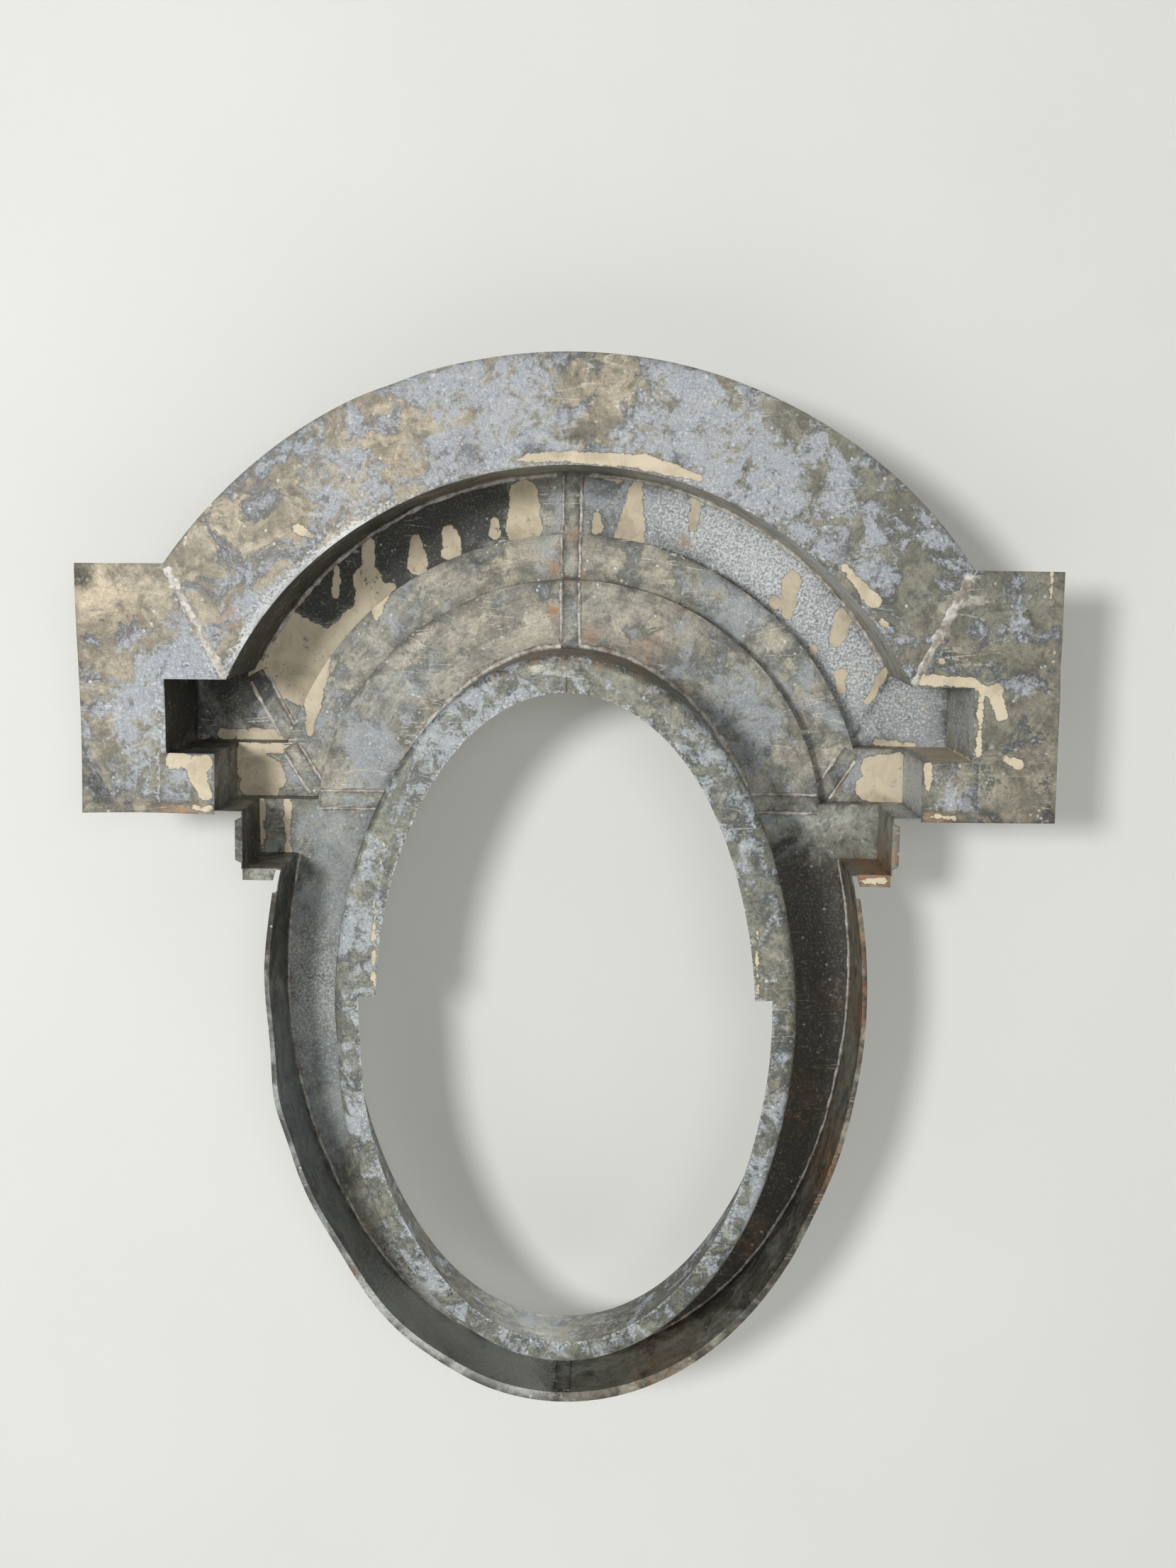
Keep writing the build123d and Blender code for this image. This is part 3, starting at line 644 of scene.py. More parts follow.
# the cornice: its wall, its deep floor, the returns with walls and caps, and the step to the outer band
cornice = {
    "warmAll": 0.15, "bloomAll": 0.3, "grimeAndShade": 0.9, "grimeAndShadeWidth": 0.007, "chalkAndLightWidth": 0.5,
    "chalkAndLight": [(0.18, 0.63, 0.09, 0.35), (0.3, 0.56, 0.09, 0.45), (0.42, 0.43, 0.09, 0.35)],
    "bloomAndLight": [(0.12, 0.64, 0.1, 0.75), (0.24, 0.58, 0.1, 0.9), (0.34, 0.48, 0.09, 0.9),
        (0.45, 0.37, 0.06, 0.8), (-0.01, 0.64, 0.03, 0.3)],
    # the dark washes on the left are painted shadow, where the cornice wall shades the left of its floor
    "dark": [(-0.12, 0.65, 0.07, 0.85), (-0.2, 0.61, 0.07, 0.95), (-0.28, 0.58, 0.07, 0.95),
        (-0.35, 0.52, 0.06, 0.9), (-0.43, 0.44, 0.04, 0.6), (-0.46, 0.38, 0.06, 0.75),
        (0.05, 0.66, 0.04, 0.4), (0.2, 0.62, 0.02, 0.2)],
    "rust": [(0.146, 0.596, 0.012, 0.9), (-0.16, 0.585, 0.012, 0.4), (0, 0.6, 0.01, 0.5)],
    "paint": [(-0.065, 0.658, -0.065, 0.612, 0.018, 0.024), (-0.103, 0.62, -0.103, 0.606, 0.005, 0.009),
        (-0.163, 0.606, -0.16, 0.578, 0.01, 0.013), (-0.209, 0.594, -0.206, 0.562, 0.008, 0.014),
        (-0.273, 0.588, -0.272, 0.56, 0.009, 0.009), (-0.273, 0.542, -0.27, 0.53, 0.019, 0.02),
        (-0.315, 0.556, -0.316, 0.52, 0.004, 0.005), (-0.275, 0.515, -0.24, 0.532, 0.016, 0.006),
        (-0.325, 0.458, -0.275, 0.505, 0.013, 0.014), (-0.432, 0.447, -0.385, 0.487, 0.012, 0.016),
        (-0.385, 0.47, -0.337, 0.455, 0.03, 0.02), (-0.405, 0.43, -0.347, 0.425, 0.034, 0.028),
        (-0.39, 0.4, -0.36, 0.385, 0.02, 0.014), (-0.47, 0.332, -0.37, 0.332, 0.007, 0.008),
        (0.086, 0.672, 0.077, 0.602, 0.007, 0.02), (0.033, 0.628, 0.033, 0.612, 0.004, 0.008),
        (0.169, 0.662, 0.16, 0.616, 0.009, 0.006), (0.292, 0.545, 0.287, 0.498, 0.013, 0.006),
        (0.27, 0.52, 0.272, 0.515, 0.007, 0.007), (0.363, 0.497, 0.352, 0.466, 0.013, 0.009),
        (0.322, 0.454, 0.323, 0.452, 0.005, 0.005), (0.36, 0.42, 0.361, 0.4, 0.009, 0.005),
        (0.417, 0.423, 0.398, 0.384, 0.006, 0.004), (0.412, 0.33, 0.46, 0.326, 0.005, 0.004),
        (0.04, 0.68, 0.06, 0.678, 0.004, 0.006)],
}
mitreIn, mitreOut = corner(outerBandR, corniceFootZ), corner(corniceR, corniceTopZ)
faceIn, faceOut = (outerBandR - sheet, corniceFootZ - sheet), (corniceR + sheet, corniceTopZ + sheet)
layPair("cornice_face", [flat(arc(*faceIn), arc(*faceOut), corniceY)], cornice, "moulding")
returnMitre = line(corner(*faceIn), corner(*faceOut), 40)
returnEnd = line((corniceEndX + sheet, faceIn[1]), (corniceEndX + sheet, faceOut[1]), 40)
layPair("return_face", [flat(returnMitre, returnEnd, corniceY)], cornice, "moulding")

corniceWall = {
    "warmAll": 0.75, "bloomAll": 0.05, "grimeAndShade": 0.5, "grimeAndShadeWidth": 0.006, "chalkAndLightWidth": 0.5,
    # the chalk washes on the right are painted light on the wall that faces the light; the dark washes on the
    # left are painted shade on the wall that faces away
    "chalkAndLight": [(0.34, 0.56, 0.2, 0.55), (0.1, 0.68, 0.1, 0.3)],
    "dark": [(-0.3, 0.58, 0.25, 0.75), (-0.45, 0.42, 0.1, 0.5), (0.05, 0.68, 0.06, 0.3)],
    "bloomAndLight": [(0.42, 0.4, 0.05, 0.4)],
}
layPair("cornice_wall", [upright(arc(corniceR, corniceTopZ), sheet, corniceY, -1)], corniceWall, "moulding")
returnWall = {
    "warmAll": 0.45, "bloomAll": 0.25, "grimeAndShade": 0.6, "grimeAndShadeWidth": 0.006, "chalkAndLightWidth": 0.5,
    "chalkAndLight": [(0.49, 0.38, 0.08, 0.45), (0.44, 0.28, 0.05, 0.6)],
    # the dark washes on the left are painted shade in the deep left pockets
    "dark": [(-0.5, 0.38, 0.06, 0.8), (-0.44, 0.42, 0.05, 0.8), (-0.47, 0.325, 0.04, 0.45),
        (0.505, 0.38, 0.05, 0.25)],
    "rust": [(0.42, 0.325, 0.02, 0.4), (-0.4, 0.325, 0.02, 0.6)],
    "paint": [(0.455, 0.323, 0.5, 0.323, 0.004, 0.006)],
}
topPath = line(mitreOut, (corniceEndX, corniceTopZ))
layPair("return_top_wall", [upright(topPath, sheet, corniceY, -1)], returnWall, "moulding")
capPath = line((corniceEndX, corniceFootZ - sheet), (corniceEndX, corniceTopZ + sheet))
layPair("return_end_cap", [upright(capPath, sheet, corniceY, 1)], returnWall, "moulding")
footPath = line((bandEndX, corniceFootZ), (corniceEndX, corniceFootZ))
layPair("return_bottom_wall", [upright(footPath, sheet, corniceY, 1)], returnWall, "moulding")


def stepPath(radius, z, endX):  # round the arch, then straight out along the return
    return np.concatenate([arc(radius, z), line(corner(radius, z), (endX, z))[1:]])


stepLook = {
    "warmAll": 0.4, "bloomAll": 0.25, "grimeAndShade": 0.9, "grimeAndShadeWidth": 0.005,
    "dark": [(0.2, 0.5, 0.25, 0.35)],
    "rust": [(0.4, 0.325, 0.02, 0.5), (-0.38, 0.325, 0.03, 0.5)],
}
corniceStepPath = stepPath(outerBandR, corniceFootZ, bandEndX)
layPair("cornice_step", [upright(corniceStepPath, outerBandY + sheet, corniceY, 1)], stepLook, "moulding")
print("cornice made")

# the outer band with its return, and the step down to the inner band
outerBand = {
    "warmAll": 0.45, "bloomAll": 0.22, "grimeAndShade": 0.75, "grimeAndShadeWidth": 0.007,
    "warm": [(-0.1, 0.57, 0.1, 0.1), (0.3, 0.35, 0.1, 0.15)],
    "bloomAndLight": [(0.2, 0.5, 0.06, 0.6), (0.3, 0.42, 0.04, 0.3), (-0.33, 0.37, 0.04, 0.5),
        (0.4, 0.29, 0.03, 0.6), (0.34, 0.37, 0.03, 0.4), (-0.37, 0.29, 0.03, 0.5)],
    "dark": [(-0.12, 0.575, 0.05, 0.25), (-0.24, 0.52, 0.04, 0.25), (0.03, 0.57, 0.03, 0.2)],
    "rust": [(-0.02, 0.56, 0.01, 0.8), (0.012, 0.55, 0.01, 0.9), (-0.39, 0.28, 0.015, 0.3)],
    "paint": [(-0.255, 0.526, -0.257, 0.49, 0.016, 0.003), (-0.322, 0.446, -0.34, 0.4, 0.006, 0.014),
        (-0.34, 0.4, -0.347, 0.34, 0.014, 0.004), (-0.43, 0.3, -0.4, 0.28, 0.022, 0.022),
        (-0.425, 0.268, -0.395, 0.262, 0.014, 0.008), (-0.435, 0.318, -0.375, 0.318, 0.007, 0.006),
        (0.402, 0.3, 0.432, 0.3, 0.015, 0.02), (0.4, 0.274, 0.432, 0.272, 0.018, 0.02)],
}
bandIn, bandOut = (innerBandR - sheet, bandFootZ - sheet), (outerBandR, corniceFootZ)
layPair("outer_band", [flat(arc(*bandIn), arc(*bandOut), outerBandY)], outerBand, "moulding")
bandMitreEdge = line(corner(*bandIn), corner(*bandOut), 30)
bandEnd = line((bandEndX, bandFootZ - sheet), (bandEndX, corniceFootZ), 30)
layPair("outer_band_return", [flat(bandMitreEdge, bandEnd, outerBandY)], outerBand, "moulding")
capPath = line((bandEndX, bandFootZ - sheet), (bandEndX, corniceFootZ - sheet))
layPair("outer_band_end_cap", [upright(capPath, sheet, outerBandY + sheet, 1)], returnWall, "moulding")
footPath = line((crossetteEndX + sheet, bandFootZ), (bandEndX, bandFootZ))
layPair("outer_band_bottom_wall", [upright(footPath, 0.0, outerBandY, 1)], returnWall, "moulding")
innerStepPath = stepPath(innerBandR, bandFootZ, crossetteEndX + sheet)
layPair("inner_band_step", [upright(innerStepPath, innerBandY + sheet, outerBandY, 1)], stepLook, "moulding")

# the inner band above the springing, and the lower face round the ring
innerBand = {
    "warmAll": 0.55, "bloomAll": 0.15, "grimeAndShade": 0.8, "grimeAndShadeWidth": 0.009,
    "bloomAndLight": [(-0.26, 0.31, 0.05, 0.8), (-0.2, 0.4, 0.03, 0.3), (0.22, 0.34, 0.06, 0.55),
        (0.16, 0.42, 0.05, 0.4), (0.28, 0.28, 0.03, 0.4)],
    "dark": [(-0.27, 0.4, 0.05, 0.3), (0.25, 0.3, 0.04, 0.35), (0.18, 0.36, 0.03, 0.3),
        (-0.3, 0.36, 0.03, 0.2)],
    "rust": [(-0.022, 0.505, 0.008, 1), (0.03, 0.475, 0.02, 0.5), (0.1, 0.455, 0.02, 0.5)],
}
insideAngles = np.linspace(math.pi / 2, math.asin(bandFootZ / (ringB - sheet)), 150)
ringInside = oval(ringA - sheet, ringB - sheet, 0, insideAngles)
layPair("inner_band", [flat(ringInside, arc(innerBandR, bandFootZ), innerBandY)], innerBand, "moulding")

lowerFace = {
    "warmAll": 0.25, "bloomAll": 0.26, "grimeAndShade": 0.8, "grimeAndShadeWidth": 0.006, "chalkAndLightWidth": 0.5,
    "warm": [(0.3, -0.25, 0.25, 0.5), (-0.2, -0.45, 0.1, 0.6)],
    # the bloom washes on the left are painted light, lifting the floor out of the channel wall's shadow
    "bloomAndLight": [(-0.3, 0.21, 0.06, 0.9), (-0.33, 0.08, 0.06, 0.9), (-0.34, -0.06, 0.09, 0.8),
        (-0.33, -0.2, 0.07, 0.5), (-0.19, -0.445, 0.05, 0.8), (-0.1, -0.49, 0.05, 0.5)],
    "chalkAndLight": [(-0.2, -0.45, 0.06, 0.9), (-0.25, -0.36, 0.03, 0.3), (-0.34, 0, 0.08, 0.3)],
    "dark": [(0.33, 0.1, 0.1, 0.85), (0.33, -0.05, 0.13, 1.2), (0.3, -0.25, 0.13, 1.2),
        (0.2, -0.4, 0.12, 0.95), (0.06, -0.48, 0.07, 0.6), (-0.37, 0.15, 0.04, 0.7),
        (0.29, 0.19, 0.05, 0.4), (-0.27, -0.36, 0.04, 0.3), (-0.06, -0.49, 0.06, 0.3)],
    "rust": [(-0.272, -0.385, 0.012, 0.9), (-0.27, -0.36, 0.02, 0.4), (0.31, -0.15, 0.03, 0.25),
        (0.25, -0.34, 0.03, 0.3), (0, -0.485, 0.02, 0.5), (0.35, 0, 0.02, 0.2), (0.3, 0.16, 0.01, 0.4),
        (0.12, -0.47, 0.03, 0.5)],
    "paint": [(-0.405, 0.253, -0.405, 0.19, 0.004, 0.0035),
        (-0.371, 0.253, -0.372, 0.185, 0.005, 0.004)],
}
lowAngles = np.linspace(-math.pi / 2, math.asin((crossetteFootZ - sheet - hair) / (ringB - sheet)), 170)
lowInside = oval(ringA - sheet, ringB - sheet, 0, lowAngles)
topAngle = math.asin((crossetteFootZ - sheet - hair - channelZ) / (channelB + sheet))
lowOutside = oval(channelA + sheet, channelB + sheet, channelZ, np.linspace(-math.pi / 2, topAngle, 170))
crossetteRows = np.linspace(crossetteFootZ - sheet, bandFootZ, 20)
rowInside = np.stack([ovalReach(ringA - sheet, ringB - sheet, crossetteRows), crossetteRows], -1)
rowOutside = np.stack([np.full(len(crossetteRows), crossetteEndX + sheet), crossetteRows], -1)
lowerEdges = (np.concatenate([lowInside, rowInside]), np.concatenate([lowOutside, rowOutside]))
layPair("surround_face", [flat(*lowerEdges, innerBandY)], lowerFace, "channel")
print("bands and lower face made")

# the crossettes: a side wall and a bottom wall, each with a narrow rim
crossette = {
    "notch": 0.008, "sideRim": 0.008, "underRim": 0.014,
    "warmAll": 0.4, "bloomAll": 0.25, "grimeAndShade": 0.8, "grimeAndShadeWidth": 0.008,
    "dark": [(-0.41, 0.22, 0.05, 0.75), (-0.38, 0.18, 0.03, 0.3)],
    # the dark washes on the left are painted shade on the crossette walls that face away from the light
    "rust": [(0.39, 0.182, 0.022, 1.4), (0.408, 0.21, 0.015, 0.4)],
    "paint": [(0.4, 0.176, 0.37, 0.176, 0.004, 0.003)],
}
sidePath = line((crossetteEndX, crossetteFootZ - sheet), (crossetteEndX, bandFootZ))
notch = crossette["notch"]
rimmed = (sidePath[:, 1] > crossetteFootZ - sheet + notch) & (sidePath[:, 1] < bandFootZ - notch)
rimOut = np.where(rimmed, crossette["sideRim"], sliver)
sideRim = sidePath + np.stack([sheet + rimOut, 0 * rimOut], -1)
layPair("crossette_side_wall", [folded(sideRim, sidePath, innerBandY, 1)], crossette, "channel")
startX = ovalReach(channelA, channelB, crossetteFootZ - sheet - channelZ)
underPath = line((startX, crossetteFootZ), (crossetteEndX, crossetteFootZ))
rimOut = np.where(underPath[:, 0] > startX + notch, crossette["underRim"], sliver)
underRim = underPath - np.stack([0 * rimOut, sheet + rimOut], -1)
layPair("crossette_bottom_wall", [folded(underRim, underPath, innerBandY, 1)], crossette, "channel")

# the oval channel wall of the lower moulding, its rim wider at the foot
channelWall = {
    # the overall dark, the wide edge grime and the dark wash at the upper left are partly dark olive patina,
    # partly painted shade over the rim and the left side; the negative dark washes and strong bloom at the
    # lower left are painted light
    "warmAll": 0.5, "bloomAll": 0.15, "grimeAndShade": 0.95, "grimeAndShadeWidth": 0.014, "darkAll": 0.25,
    "chalkAndLightWidth": 0.5,
    "chalkAndLight": [(-0.2, -0.45, 0.08, 1), (-0.12, -0.49, 0.06, 1), (-0.04, -0.51, 0.04, 0.6)],
    "dark": [(0.3, -0.3, 0.2, 0.45), (-0.39, 0.12, 0.07, 0.5), (-0.34, -0.2, 0.13, -0.5),
        (-0.22, -0.42, 0.13, -0.6), (-0.08, -0.5, 0.08, -0.4)],
    "bloomAndLight": [(-0.37, -0.08, 0.1, 0.9), (-0.32, -0.25, 0.11, 1.1), (-0.2, -0.43, 0.1, 1.3),
        (-0.08, -0.5, 0.07, 0.9), (0.38, 0.05, 0.05, 0.2)],
    "rust": [(0.375, 0, 0.05, 0.5), (0.37, 0.1, 0.04, 0.4), (-0.29, -0.36, 0.02, 0.7),
        (0.34, -0.2, 0.05, 0.4), (0.12, -0.48, 0.05, 0.3)],
}
wallAngles = np.linspace(-math.pi / 2, math.asin((crossetteFootZ - sheet - channelZ) / channelB), 260)
wallPath = oval(channelA, channelB, channelZ, wallAngles)
rimPath = oval(channelA + rimSide, channelB + rimFoot, channelZ, wallAngles)
narrow = wallPath + outwards(wallPath, 1) * (sheet + sliver)
rimPath = np.where(wallPath[:, 1:] < rimTopZ, rimPath, narrow)
layPair("channel_wall", [folded(rimPath, wallPath, innerBandY, 1)], channelWall, "channel")
print("crossettes and channel made")

# the ring: a flange with a step half way up, a rolled edge, and a wall back to the lower face
ring = {
    "holeEdge": 0.041, "holeRise": 0.023,
    "flangeSide": 0.031, "rebateSide": 0.0215, "rebateTop": 0.018, "rebateZ": 0.027, "warmAll": 0.35,
    "bloomAll": 0.36, "grimeAndShade": 0.35, "grimeAndShadeWidth": 0.004, "chalkAll": 0.35, "chalkAndLightWidth": 0.006,
    "bloomAndLight": [(-0.14, 0.37, 0.08, 0.3), (-0.26, 0.16, 0.06, 0.35), (-0.27, -0.12, 0.06, 0.3),
        (0.16, 0.37, 0.07, 0.2), (0.24, -0.22, 0.1, 0.3), (-0.18, -0.35, 0.08, 0.3),
        (0.1, 0.4, 0.05, -0.3), (0.29, 0.1, 0.08, -0.2)],
    "dark": [(0.29, 0.2, 0.05, 0.3), (0.28, 0, 0.05, 0.15)],
    "rust": [(0, 0.471, 0.017, 1.4), (0.05, 0.466, 0.018, 1.2), (-0.05, 0.465, 0.018, 1.2),
        (0.1, 0.448, 0.018, 0.8), (-0.1, 0.447, 0.018, 0.8)],
    "paint": [(-0.238, 0.15, -0.24, 0.035, 0.001, 0.003), (0.239, 0.14, 0.24, 0.035, 0, 0.002),
        (-0.225, 0.23, -0.234, 0.17, 0, 0.001)],
}
openingA = ringA - ring["flangeSide"]
stepAngle = math.asin(ring["rebateZ"] / ringB)
ringAngles = np.concatenate([np.linspace(-math.pi / 2, stepAngle - hair, 200),
                             np.linspace(stepAngle, math.pi / 2, 180)])


def ringShell(angles):
    # profile (inset, depth) carried round the oval: flange, quarter circle, wall; then the same, one sheet in
    path = oval(ringA, ringB, 0, angles)
    way = outwards(path, 1)
    upper = angles >= stepAngle
    a = np.where(upper, openingA - ring["rebateSide"], openingA)
    b = np.where(upper, openingB - ring["rebateTop"], openingB)
    # distance along the inward normal to the opening's oval, from the quadratic of a line and an oval
    qa = (way[:, 0] / a) ** 2 + (way[:, 1] / b) ** 2
    qb = path[:, 0] * way[:, 0] / a**2 + path[:, 1] * way[:, 1] / b**2
    qc = (path[:, 0] / a) ** 2 + (path[:, 1] / b) ** 2 - 1
    inset = (qb - np.sqrt(np.maximum(qb**2 - qa * qc, 0))) / qa
    v = np.linspace(0, 1, 9)
    turn = np.linspace(0, math.pi / 2, 8)[1:]
    drop = np.linspace(0, 1, 30)[1:]
    sides = []
    for thick in (0.0, sheet):
        bend = ringBend - thick
        ins = np.concatenate([inset[:, None] * (1 - v) + ringBend * v,
                              np.tile(ringBend - bend * np.sin(turn), (len(path), 1)),
                              np.full((len(path), len(drop)), thick)], 1)
        deep = np.concatenate([np.full(len(v), ringY + thick), ringY + ringBend - bend * np.cos(turn),
                               ringY + ringBend + drop * (innerBandY - ringY - ringBend)])
        plan = path[:, None] - way[:, None] * ins[..., None]
        sides.append(stand(plan, deep[None, :] + 0 * ins))
    return tuple(sides)


ringHole = [(ringA - ring["holeEdge"], ring["rebateZ"] + ring["holeRise"])]
layPair("ring", [punch(ringShell(ringAngles), ringHole)], ring, "ring", ["ring_flange", "ring_wall"])

# the sill lip: a crescent strip inside the foot of the opening
sillLip = {
    "warmAll": 0.4, "bloomAll": 0.2, "grimeAndShade": 0.6,
    "rust": [(0, -0.43, 0.006, 0.4)],
}
lipX = np.linspace(0, lipEndX, 60)
lipPath = np.stack([lipX, -ovalReach(openingB, openingA, lipX)], -1)
lipStart = ringY + sheet
lipDeep = lipY - lipStart
planR = (lipEndX**2 + lipDeep**2) / (2 * lipDeep)
leastLip = 0.0003
lipEdge = np.maximum(lipStart + lipDeep - planR + np.sqrt(planR**2 - lipX**2), lipStart + leastLip)
layPair("sill_lip", [upright(lipPath, lipStart, lipEdge, 1)], sillLip, "ring")
print("ring made")

# cover straps over the butt joints
strapLook = {
    "warmAll": 0.2, "bloomAll": 0.25, "grimeAndShade": 0.9, "grimeAndShadeWidth": 0.004,
    "dark": [(0, 0.55, 0.2, 0.25), (0.3, 0.255, 0.1, 0.3), (-0.42, 0.39, 0.06, 0.5)],
    "rust": [(0, 0.605, 0.008, 0.9), (0, 0.545, 0.006, 0.5)],
}


def circleStrip(r0, r1, y):  # upright strip between two circles at the crown
    x = np.linspace(-strapHalf, strapHalf, 7)
    low, high = (np.stack([x, circleTop(r, x)], -1) for r in (r0, r1))
    return flat(low, high, y - strapThick, strapThick)


def strap(name, shells):
    lay(name + "_strip", shells, strapLook, "strap", [name])


strap("crown_strap_cornice", [circleStrip(outerBandR, corniceR, corniceY)])
strap("crown_strap_outer_band", [circleStrip(innerBandR, outerBandR, outerBandY)])
strapX = np.linspace(-strapHalf, strapHalf, 7)
ringTop = np.stack([strapX, ovalReach(ringB, ringA, strapX)], -1)
bandTop = np.stack([strapX, circleTop(innerBandR, strapX)], -1)
strap("crown_strap_inner_band", [flat(ringTop, bandTop, innerBandY - strapThick, strapThick)])
channelFoot = np.stack([strapX, channelZ - ovalReach(channelB, channelA, strapX) + strapThick], -1)
ringFoot = ringTop * (1, -1)
strapEndY = 0.006
strap("foot_strap", [flat(ringFoot, channelFoot, innerBandY - strapThick, strapThick),
                     upright(channelFoot, strapEndY, innerBandY, 1, strapThick)])

springZ = np.linspace(bandFootZ - strapHalf, bandFootZ + strapHalf, 7)
springIn = np.stack([ovalReach(ringA, ringB, springZ), springZ], -1)
springOut = np.stack([np.full(7, corner(innerBandR, bandFootZ + strapHalf)[0]), springZ], -1)
springShell = flat(springIn, springOut, innerBandY - strapThick, strapThick)
layPair("springing_strap", [springShell], strapLook, "strap")


def alongMitre(low, high, aside, short):  # its way, and lines beside it, a little short of both ends
    way = (high - low) / np.linalg.norm(high - low)
    side = np.array([way[1], -way[0]]) * aside
    return [(low + sign * side + way * short, high + sign * side - way * short) for sign in (1, -1)]


def mitreStrip(low, high, y):  # strip along a mitre, half a strap's width to each side
    second, first = (line(*ends, 24) for ends in alongMitre(low, high, strapHalf, strapShort))
    return flat(first, second, y - strapThick, strapThick)


strapShort = 0.004
bandMitre = (corner(innerBandR, bandFootZ), corner(outerBandR, corniceFootZ))
layPair("outer_band_mitre_strap", [mitreStrip(*bandMitre, outerBandY)], strapLook, "strap")
near, far = mitreStrip(mitreIn, mitreOut, corniceY)
strap("cornice_mitre_strap_left", [(near * (-1, 1, 1), far * (-1, 1, 1))])
print("straps made")

# solder: ragged half-round beads
beads = {"width": 0.0055, "height": 0.0022, "wander": 0.0009, "step": 0.002, "uneven": 0.45, "sunk": 0.0003,
         "beside": 0.002, "lean": 0.0025, "mitreShort": 0.012, "ends": 1.53}


def wobble(length, grain, rng):  # noise along a run: random values every grain, joined, in two sizes
    s = np.arange(0, length, beads["step"])
    total = np.zeros(len(s))
    for size, amount in ((grain, 0.7), (grain / 3, 0.3)):
        knots = np.arange(0, length + 2 * size, size)
        total += amount * np.interp(s, knots, rng.uniform(-1, 1, len(knots)))
    return total


def bead(path, towards, rng, width=1.0, height=1.0):
    # half-round profile along a path: P(s, t) = path(s) + across(s) w cos(t) + towards h sin(t), closed below
    length = np.linalg.norm(np.diff(path, axis=0), axis=1).sum()
    along = np.insert(np.linalg.norm(np.diff(path, axis=0), axis=1).cumsum(), 0, 0)
    s = np.linspace(0, length, len(np.arange(0, length, beads["step"])))
    middle = np.stack([np.interp(s, along, path[:, k]) for k in range(3)], -1)
    way = np.gradient(middle, axis=0)
    way /= np.linalg.norm(way, axis=1)[:, None]
    towards = np.broadcast_to(np.array(towards, float), middle.shape)
    across = np.cross(way, towards)
    across /= np.linalg.norm(across, axis=1)[:, None]
    middle = middle + across * (wobble(length, 0.02, rng) * beads["wander"])[:, None]
    wide = beads["width"] / 2 * width * (1 + beads["uneven"] * wobble(length, 0.009, rng))
    tall = beads["height"] * height * (1 + beads["uneven"] * wobble(length, 0.007, rng))
    t = np.linspace(0, math.pi, 8)
    ring = (across[:, None] * (wide[:, None] * np.cos(t))[..., None]
            + towards[:, None] * (tall[:, None] * np.sin(t) - beads["sunk"])[..., None])
    return middle[:, None] + ring


def beadMesh(name, grids, nodes):
    # each grid of (along, around) points becomes a closed bead: its sides, its underside and its two ends
    points, faces, start = [], [], 0
    for grid in grids:
        n, m, _ = grid.shape
        index = np.arange(n * m).reshape(n, m) + start
        wrap = np.concatenate([index, index[:, :1]], 1)
        sides = np.stack([wrap[:-1, :-1], wrap[1:, :-1], wrap[1:, 1:], wrap[:-1, 1:]], -1)
        faces.append(sides.reshape(-1, 4))
        for row, turn in ((index[0], 1), (index[-1], -1)):
            k = m // 2
            fan = np.stack([row[:k - 1], row[1:k], row[m - 2:k - 1:-1], row[m - 1:k:-1]], -1)
            faces.append(fan[:, ::turn])
        ends = np.concatenate(faces[-3:]) - start
        faces[-3:] = [facing(grid.reshape(-1, 3), ends) + start]
        points.append(grid.reshape(-1, 3))
        start += n * m
    points, faces = np.concatenate(points), np.concatenate(faces)
    makeMesh(name, points, faces, {}, "solder", nodes)


def solderRuns(flip, mitreToo, seed):
    rng = np.random.default_rng(seed)
    front = (0, -1, 0)
    runs = []

    def put(plan, y, **size):
        runs.append(bead(stand(plan, y) * (flip, 1, 1), front, rng, **size))

    seam = line(seamFoot + (0.002, 0.003), seamTop - (0.004, 0.005))
    put(seam, 0.0, width=2.2, height=0.3)
    gap = strapHalf + beads["beside"]
    for z in (bandFootZ + gap, bandFootZ - gap):
        endX = corner(innerBandR, bandFootZ + gap)[0] if z > bandFootZ else springOut[0, 0]
        put(line((ovalReach(ringA, ringB, z) + 0.003, z), (endX - 0.002, z)), innerBandY)
    mitres = [(*bandMitre, outerBandY)] + ([(mitreIn, mitreOut, corniceY)] if mitreToo else [])
    for low, high, y in mitres:
        for run in alongMitre(low, high, gap, beads["mitreShort"]):
            put(line(*run), y)
    lean, ends = beads["lean"], beads["ends"]
    put(arc(corniceR - lean, corniceTopZ)[6:-4], corniceY, width=1.2)
    above = np.linspace(ends, math.asin((bandFootZ + gap) / ringB) + 0.01, 120)
    below = np.linspace(math.asin((bandFootZ - gap) / ringB) - 0.01, -ends, 300)
    put(oval(ringA + lean, ringB + lean, 0, above), innerBandY, width=1.7, height=1.5)
    put(oval(ringA + lean, ringB + lean, 0, below), innerBandY, width=0.7, height=0.7)
    channelRun = oval(channelA - lean, channelB - lean, channelZ, np.linspace(-ends, topAngle, 300))
    put(channelRun, innerBandY, width=0.7, height=0.7)
    return runs


for hand, flip in (("right", 1), ("left", -1)):
    beadMesh(f"solder_runs_{hand}", solderRuns(flip, flip < 0, 20 + flip), [f"solder_{hand}"])
rng = np.random.default_rng(5)
crown = []
for r0, r1, y in ((outerBandR, corniceR, corniceY), (innerBandR, outerBandR, outerBandY),
                  (ringB - archZ, innerBandR, innerBandY)):
    for x in (strapHalf + beads["beside"], -strapHalf - beads["beside"]):
        run = stand(line((x, archZ + r0 + 0.003), (x, archZ + r1 - 0.004)), y)
        crown.append(bead(run, (0, -1, 0), rng, width=1.1))
beadMesh("solder_runs_crown", crown, ["solder_crown"])
print("solder made")

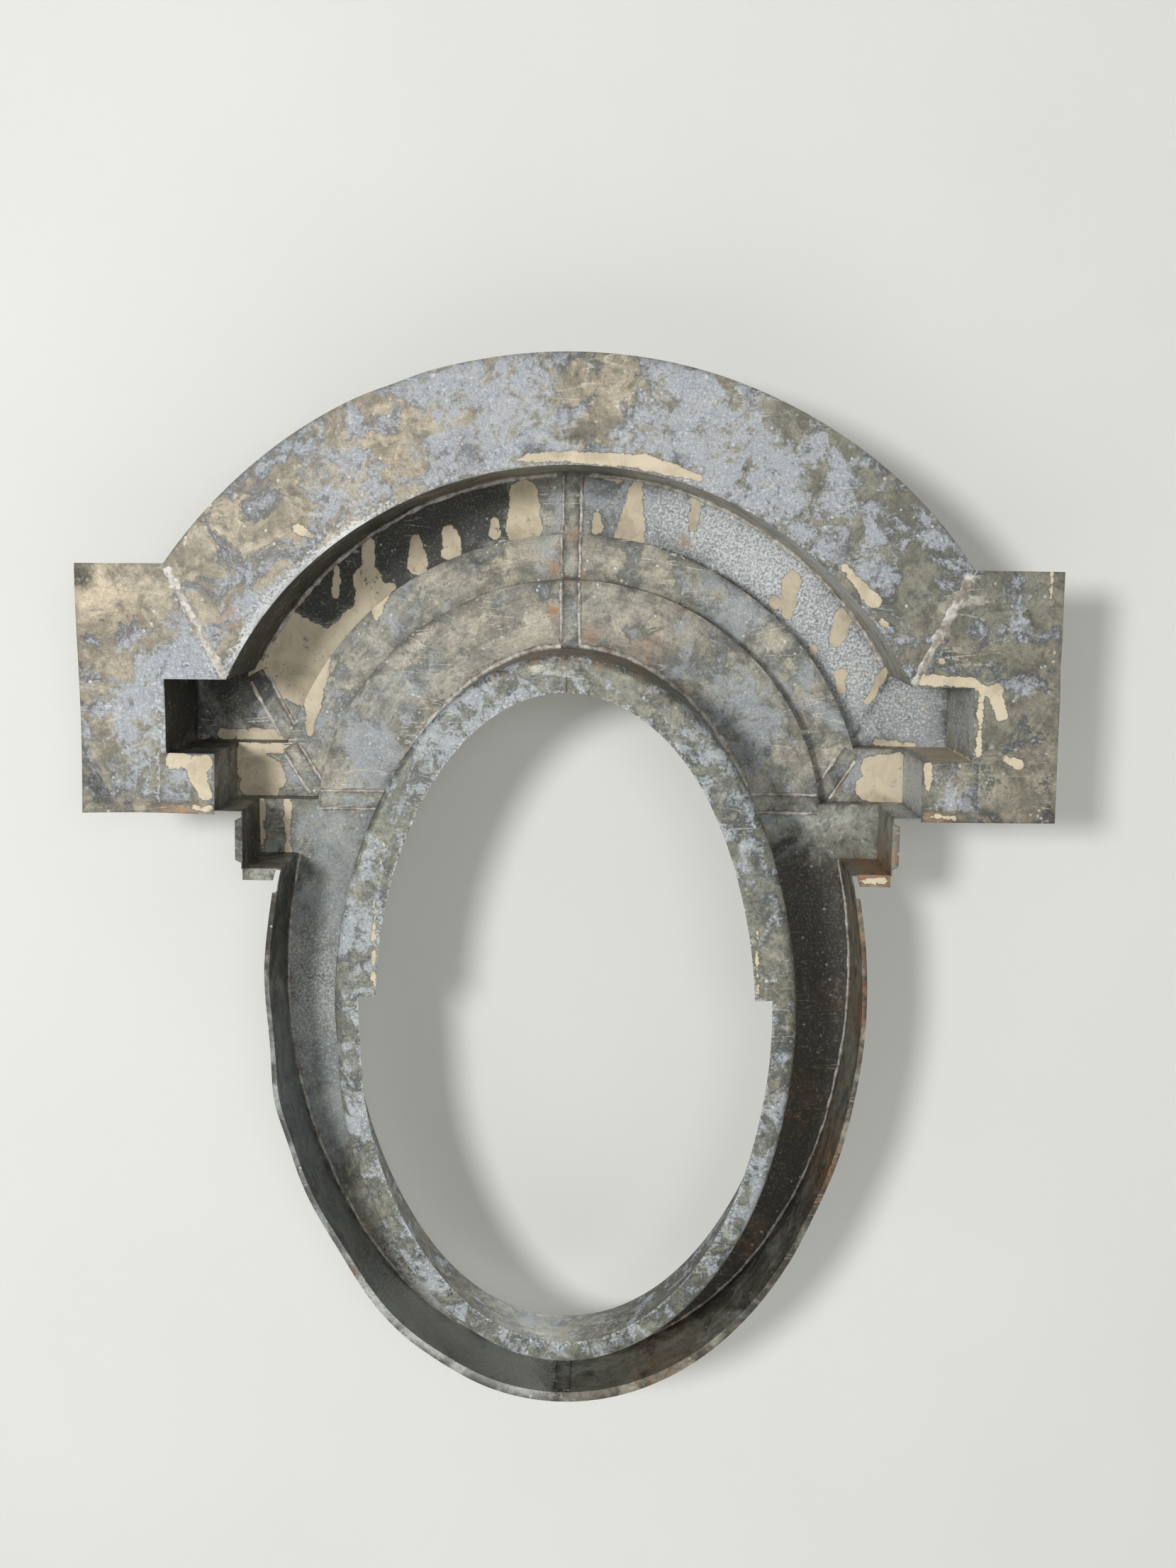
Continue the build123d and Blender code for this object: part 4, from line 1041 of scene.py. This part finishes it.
# stage: a pale floor, a pale wall close behind, and soft light from the upper left
stageLook = {"floorZ": -1.0, "wallY": 0.235, "size": 9.0, "paint": "#E3E3DF", "cloud": "#DEDEDA",
             "key": ((-2.1, -4.9, 1.2), 1.0, 178), "fill": ((0.8, -4.5, 1.0), 1.6, 32),
             "back": ((0.8, 3.2, 2.4), 2.5, 110), "sky": 0.29}


def palePaint(name, oneSided):
    # matt pale paint: even, with a faint cloud 300 mm wide; a one-sided wall can't be seen from behind
    _, add, noise, _, mix, cover = startMaterial(name)
    colour = mix(noise(0.3, 2), linear(stageLook["paint"]), linear(stageLook["cloud"]))
    paint = add("BsdfPrincipled", {"Base Color": colour, "Roughness": 0.9}).outputs[0]
    if oneSided:
        clear = add("BsdfTransparent", {}).outputs[0]
        behind = add("NewGeometry", {}).outputs["Backfacing"]
        paint = add("MixShader", {0: behind, 1: paint, 2: clear}).outputs[0]
    return cover(paint)


def stagePlane(name, corners, material):
    mesh = bpy.data.meshes.new(name)
    mesh.from_pydata(corners, [], [(0, 1, 2, 3)])
    mesh.materials.append(material)
    plane = bpy.data.objects.new(name, mesh)
    bpy.context.scene.collection.objects.link(plane)
    return plane


def areaLight(name, place, size, power, target=(0, 0.05, 0.1)):
    light = bpy.data.lights.new(name, "AREA")
    light.shape, light.size, light.energy = "DISK", size, power
    lamp = bpy.data.objects.new(name, light)
    bpy.context.scene.collection.objects.link(lamp)
    way = np.array(target) - place
    side = np.cross(way, (0, 0, 1))
    axes = [side, np.cross(side, way), -way]
    turn = Matrix(np.stack([a / np.linalg.norm(a) for a in axes], -1))
    lamp.matrix_world = Matrix.Translation(place) @ turn.to_4x4()


half, floorZ, wallY = stageLook["size"], stageLook["floorZ"], stageLook["wallY"]
around = ((-half, -half), (half, -half), (half, half), (-half, half))
stagePlane("floor", [(x, y, floorZ) for x, y in around], palePaint("floor_paint", False))
wallCorners = [(x, wallY, max(z, floorZ)) for x, z in around]
wall = stagePlane("backdrop", wallCorners, palePaint("backdrop_paint", True))
wall.visible_shadow = wall.visible_diffuse = wall.visible_glossy = False
for name in ("key", "fill", "back"):
    areaLight(name + "_light", *stageLook[name])
world = bpy.data.worlds.new("studio")
world.use_nodes = True
world.node_tree.nodes["Background"].inputs["Color"].default_value = (1, 1, 1, 1)
world.node_tree.nodes["Background"].inputs["Strength"].default_value = stageLook["sky"]
bpy.context.scene.world = world
bpy.context.scene.view_settings.view_transform = "Standard"
print("stage set")
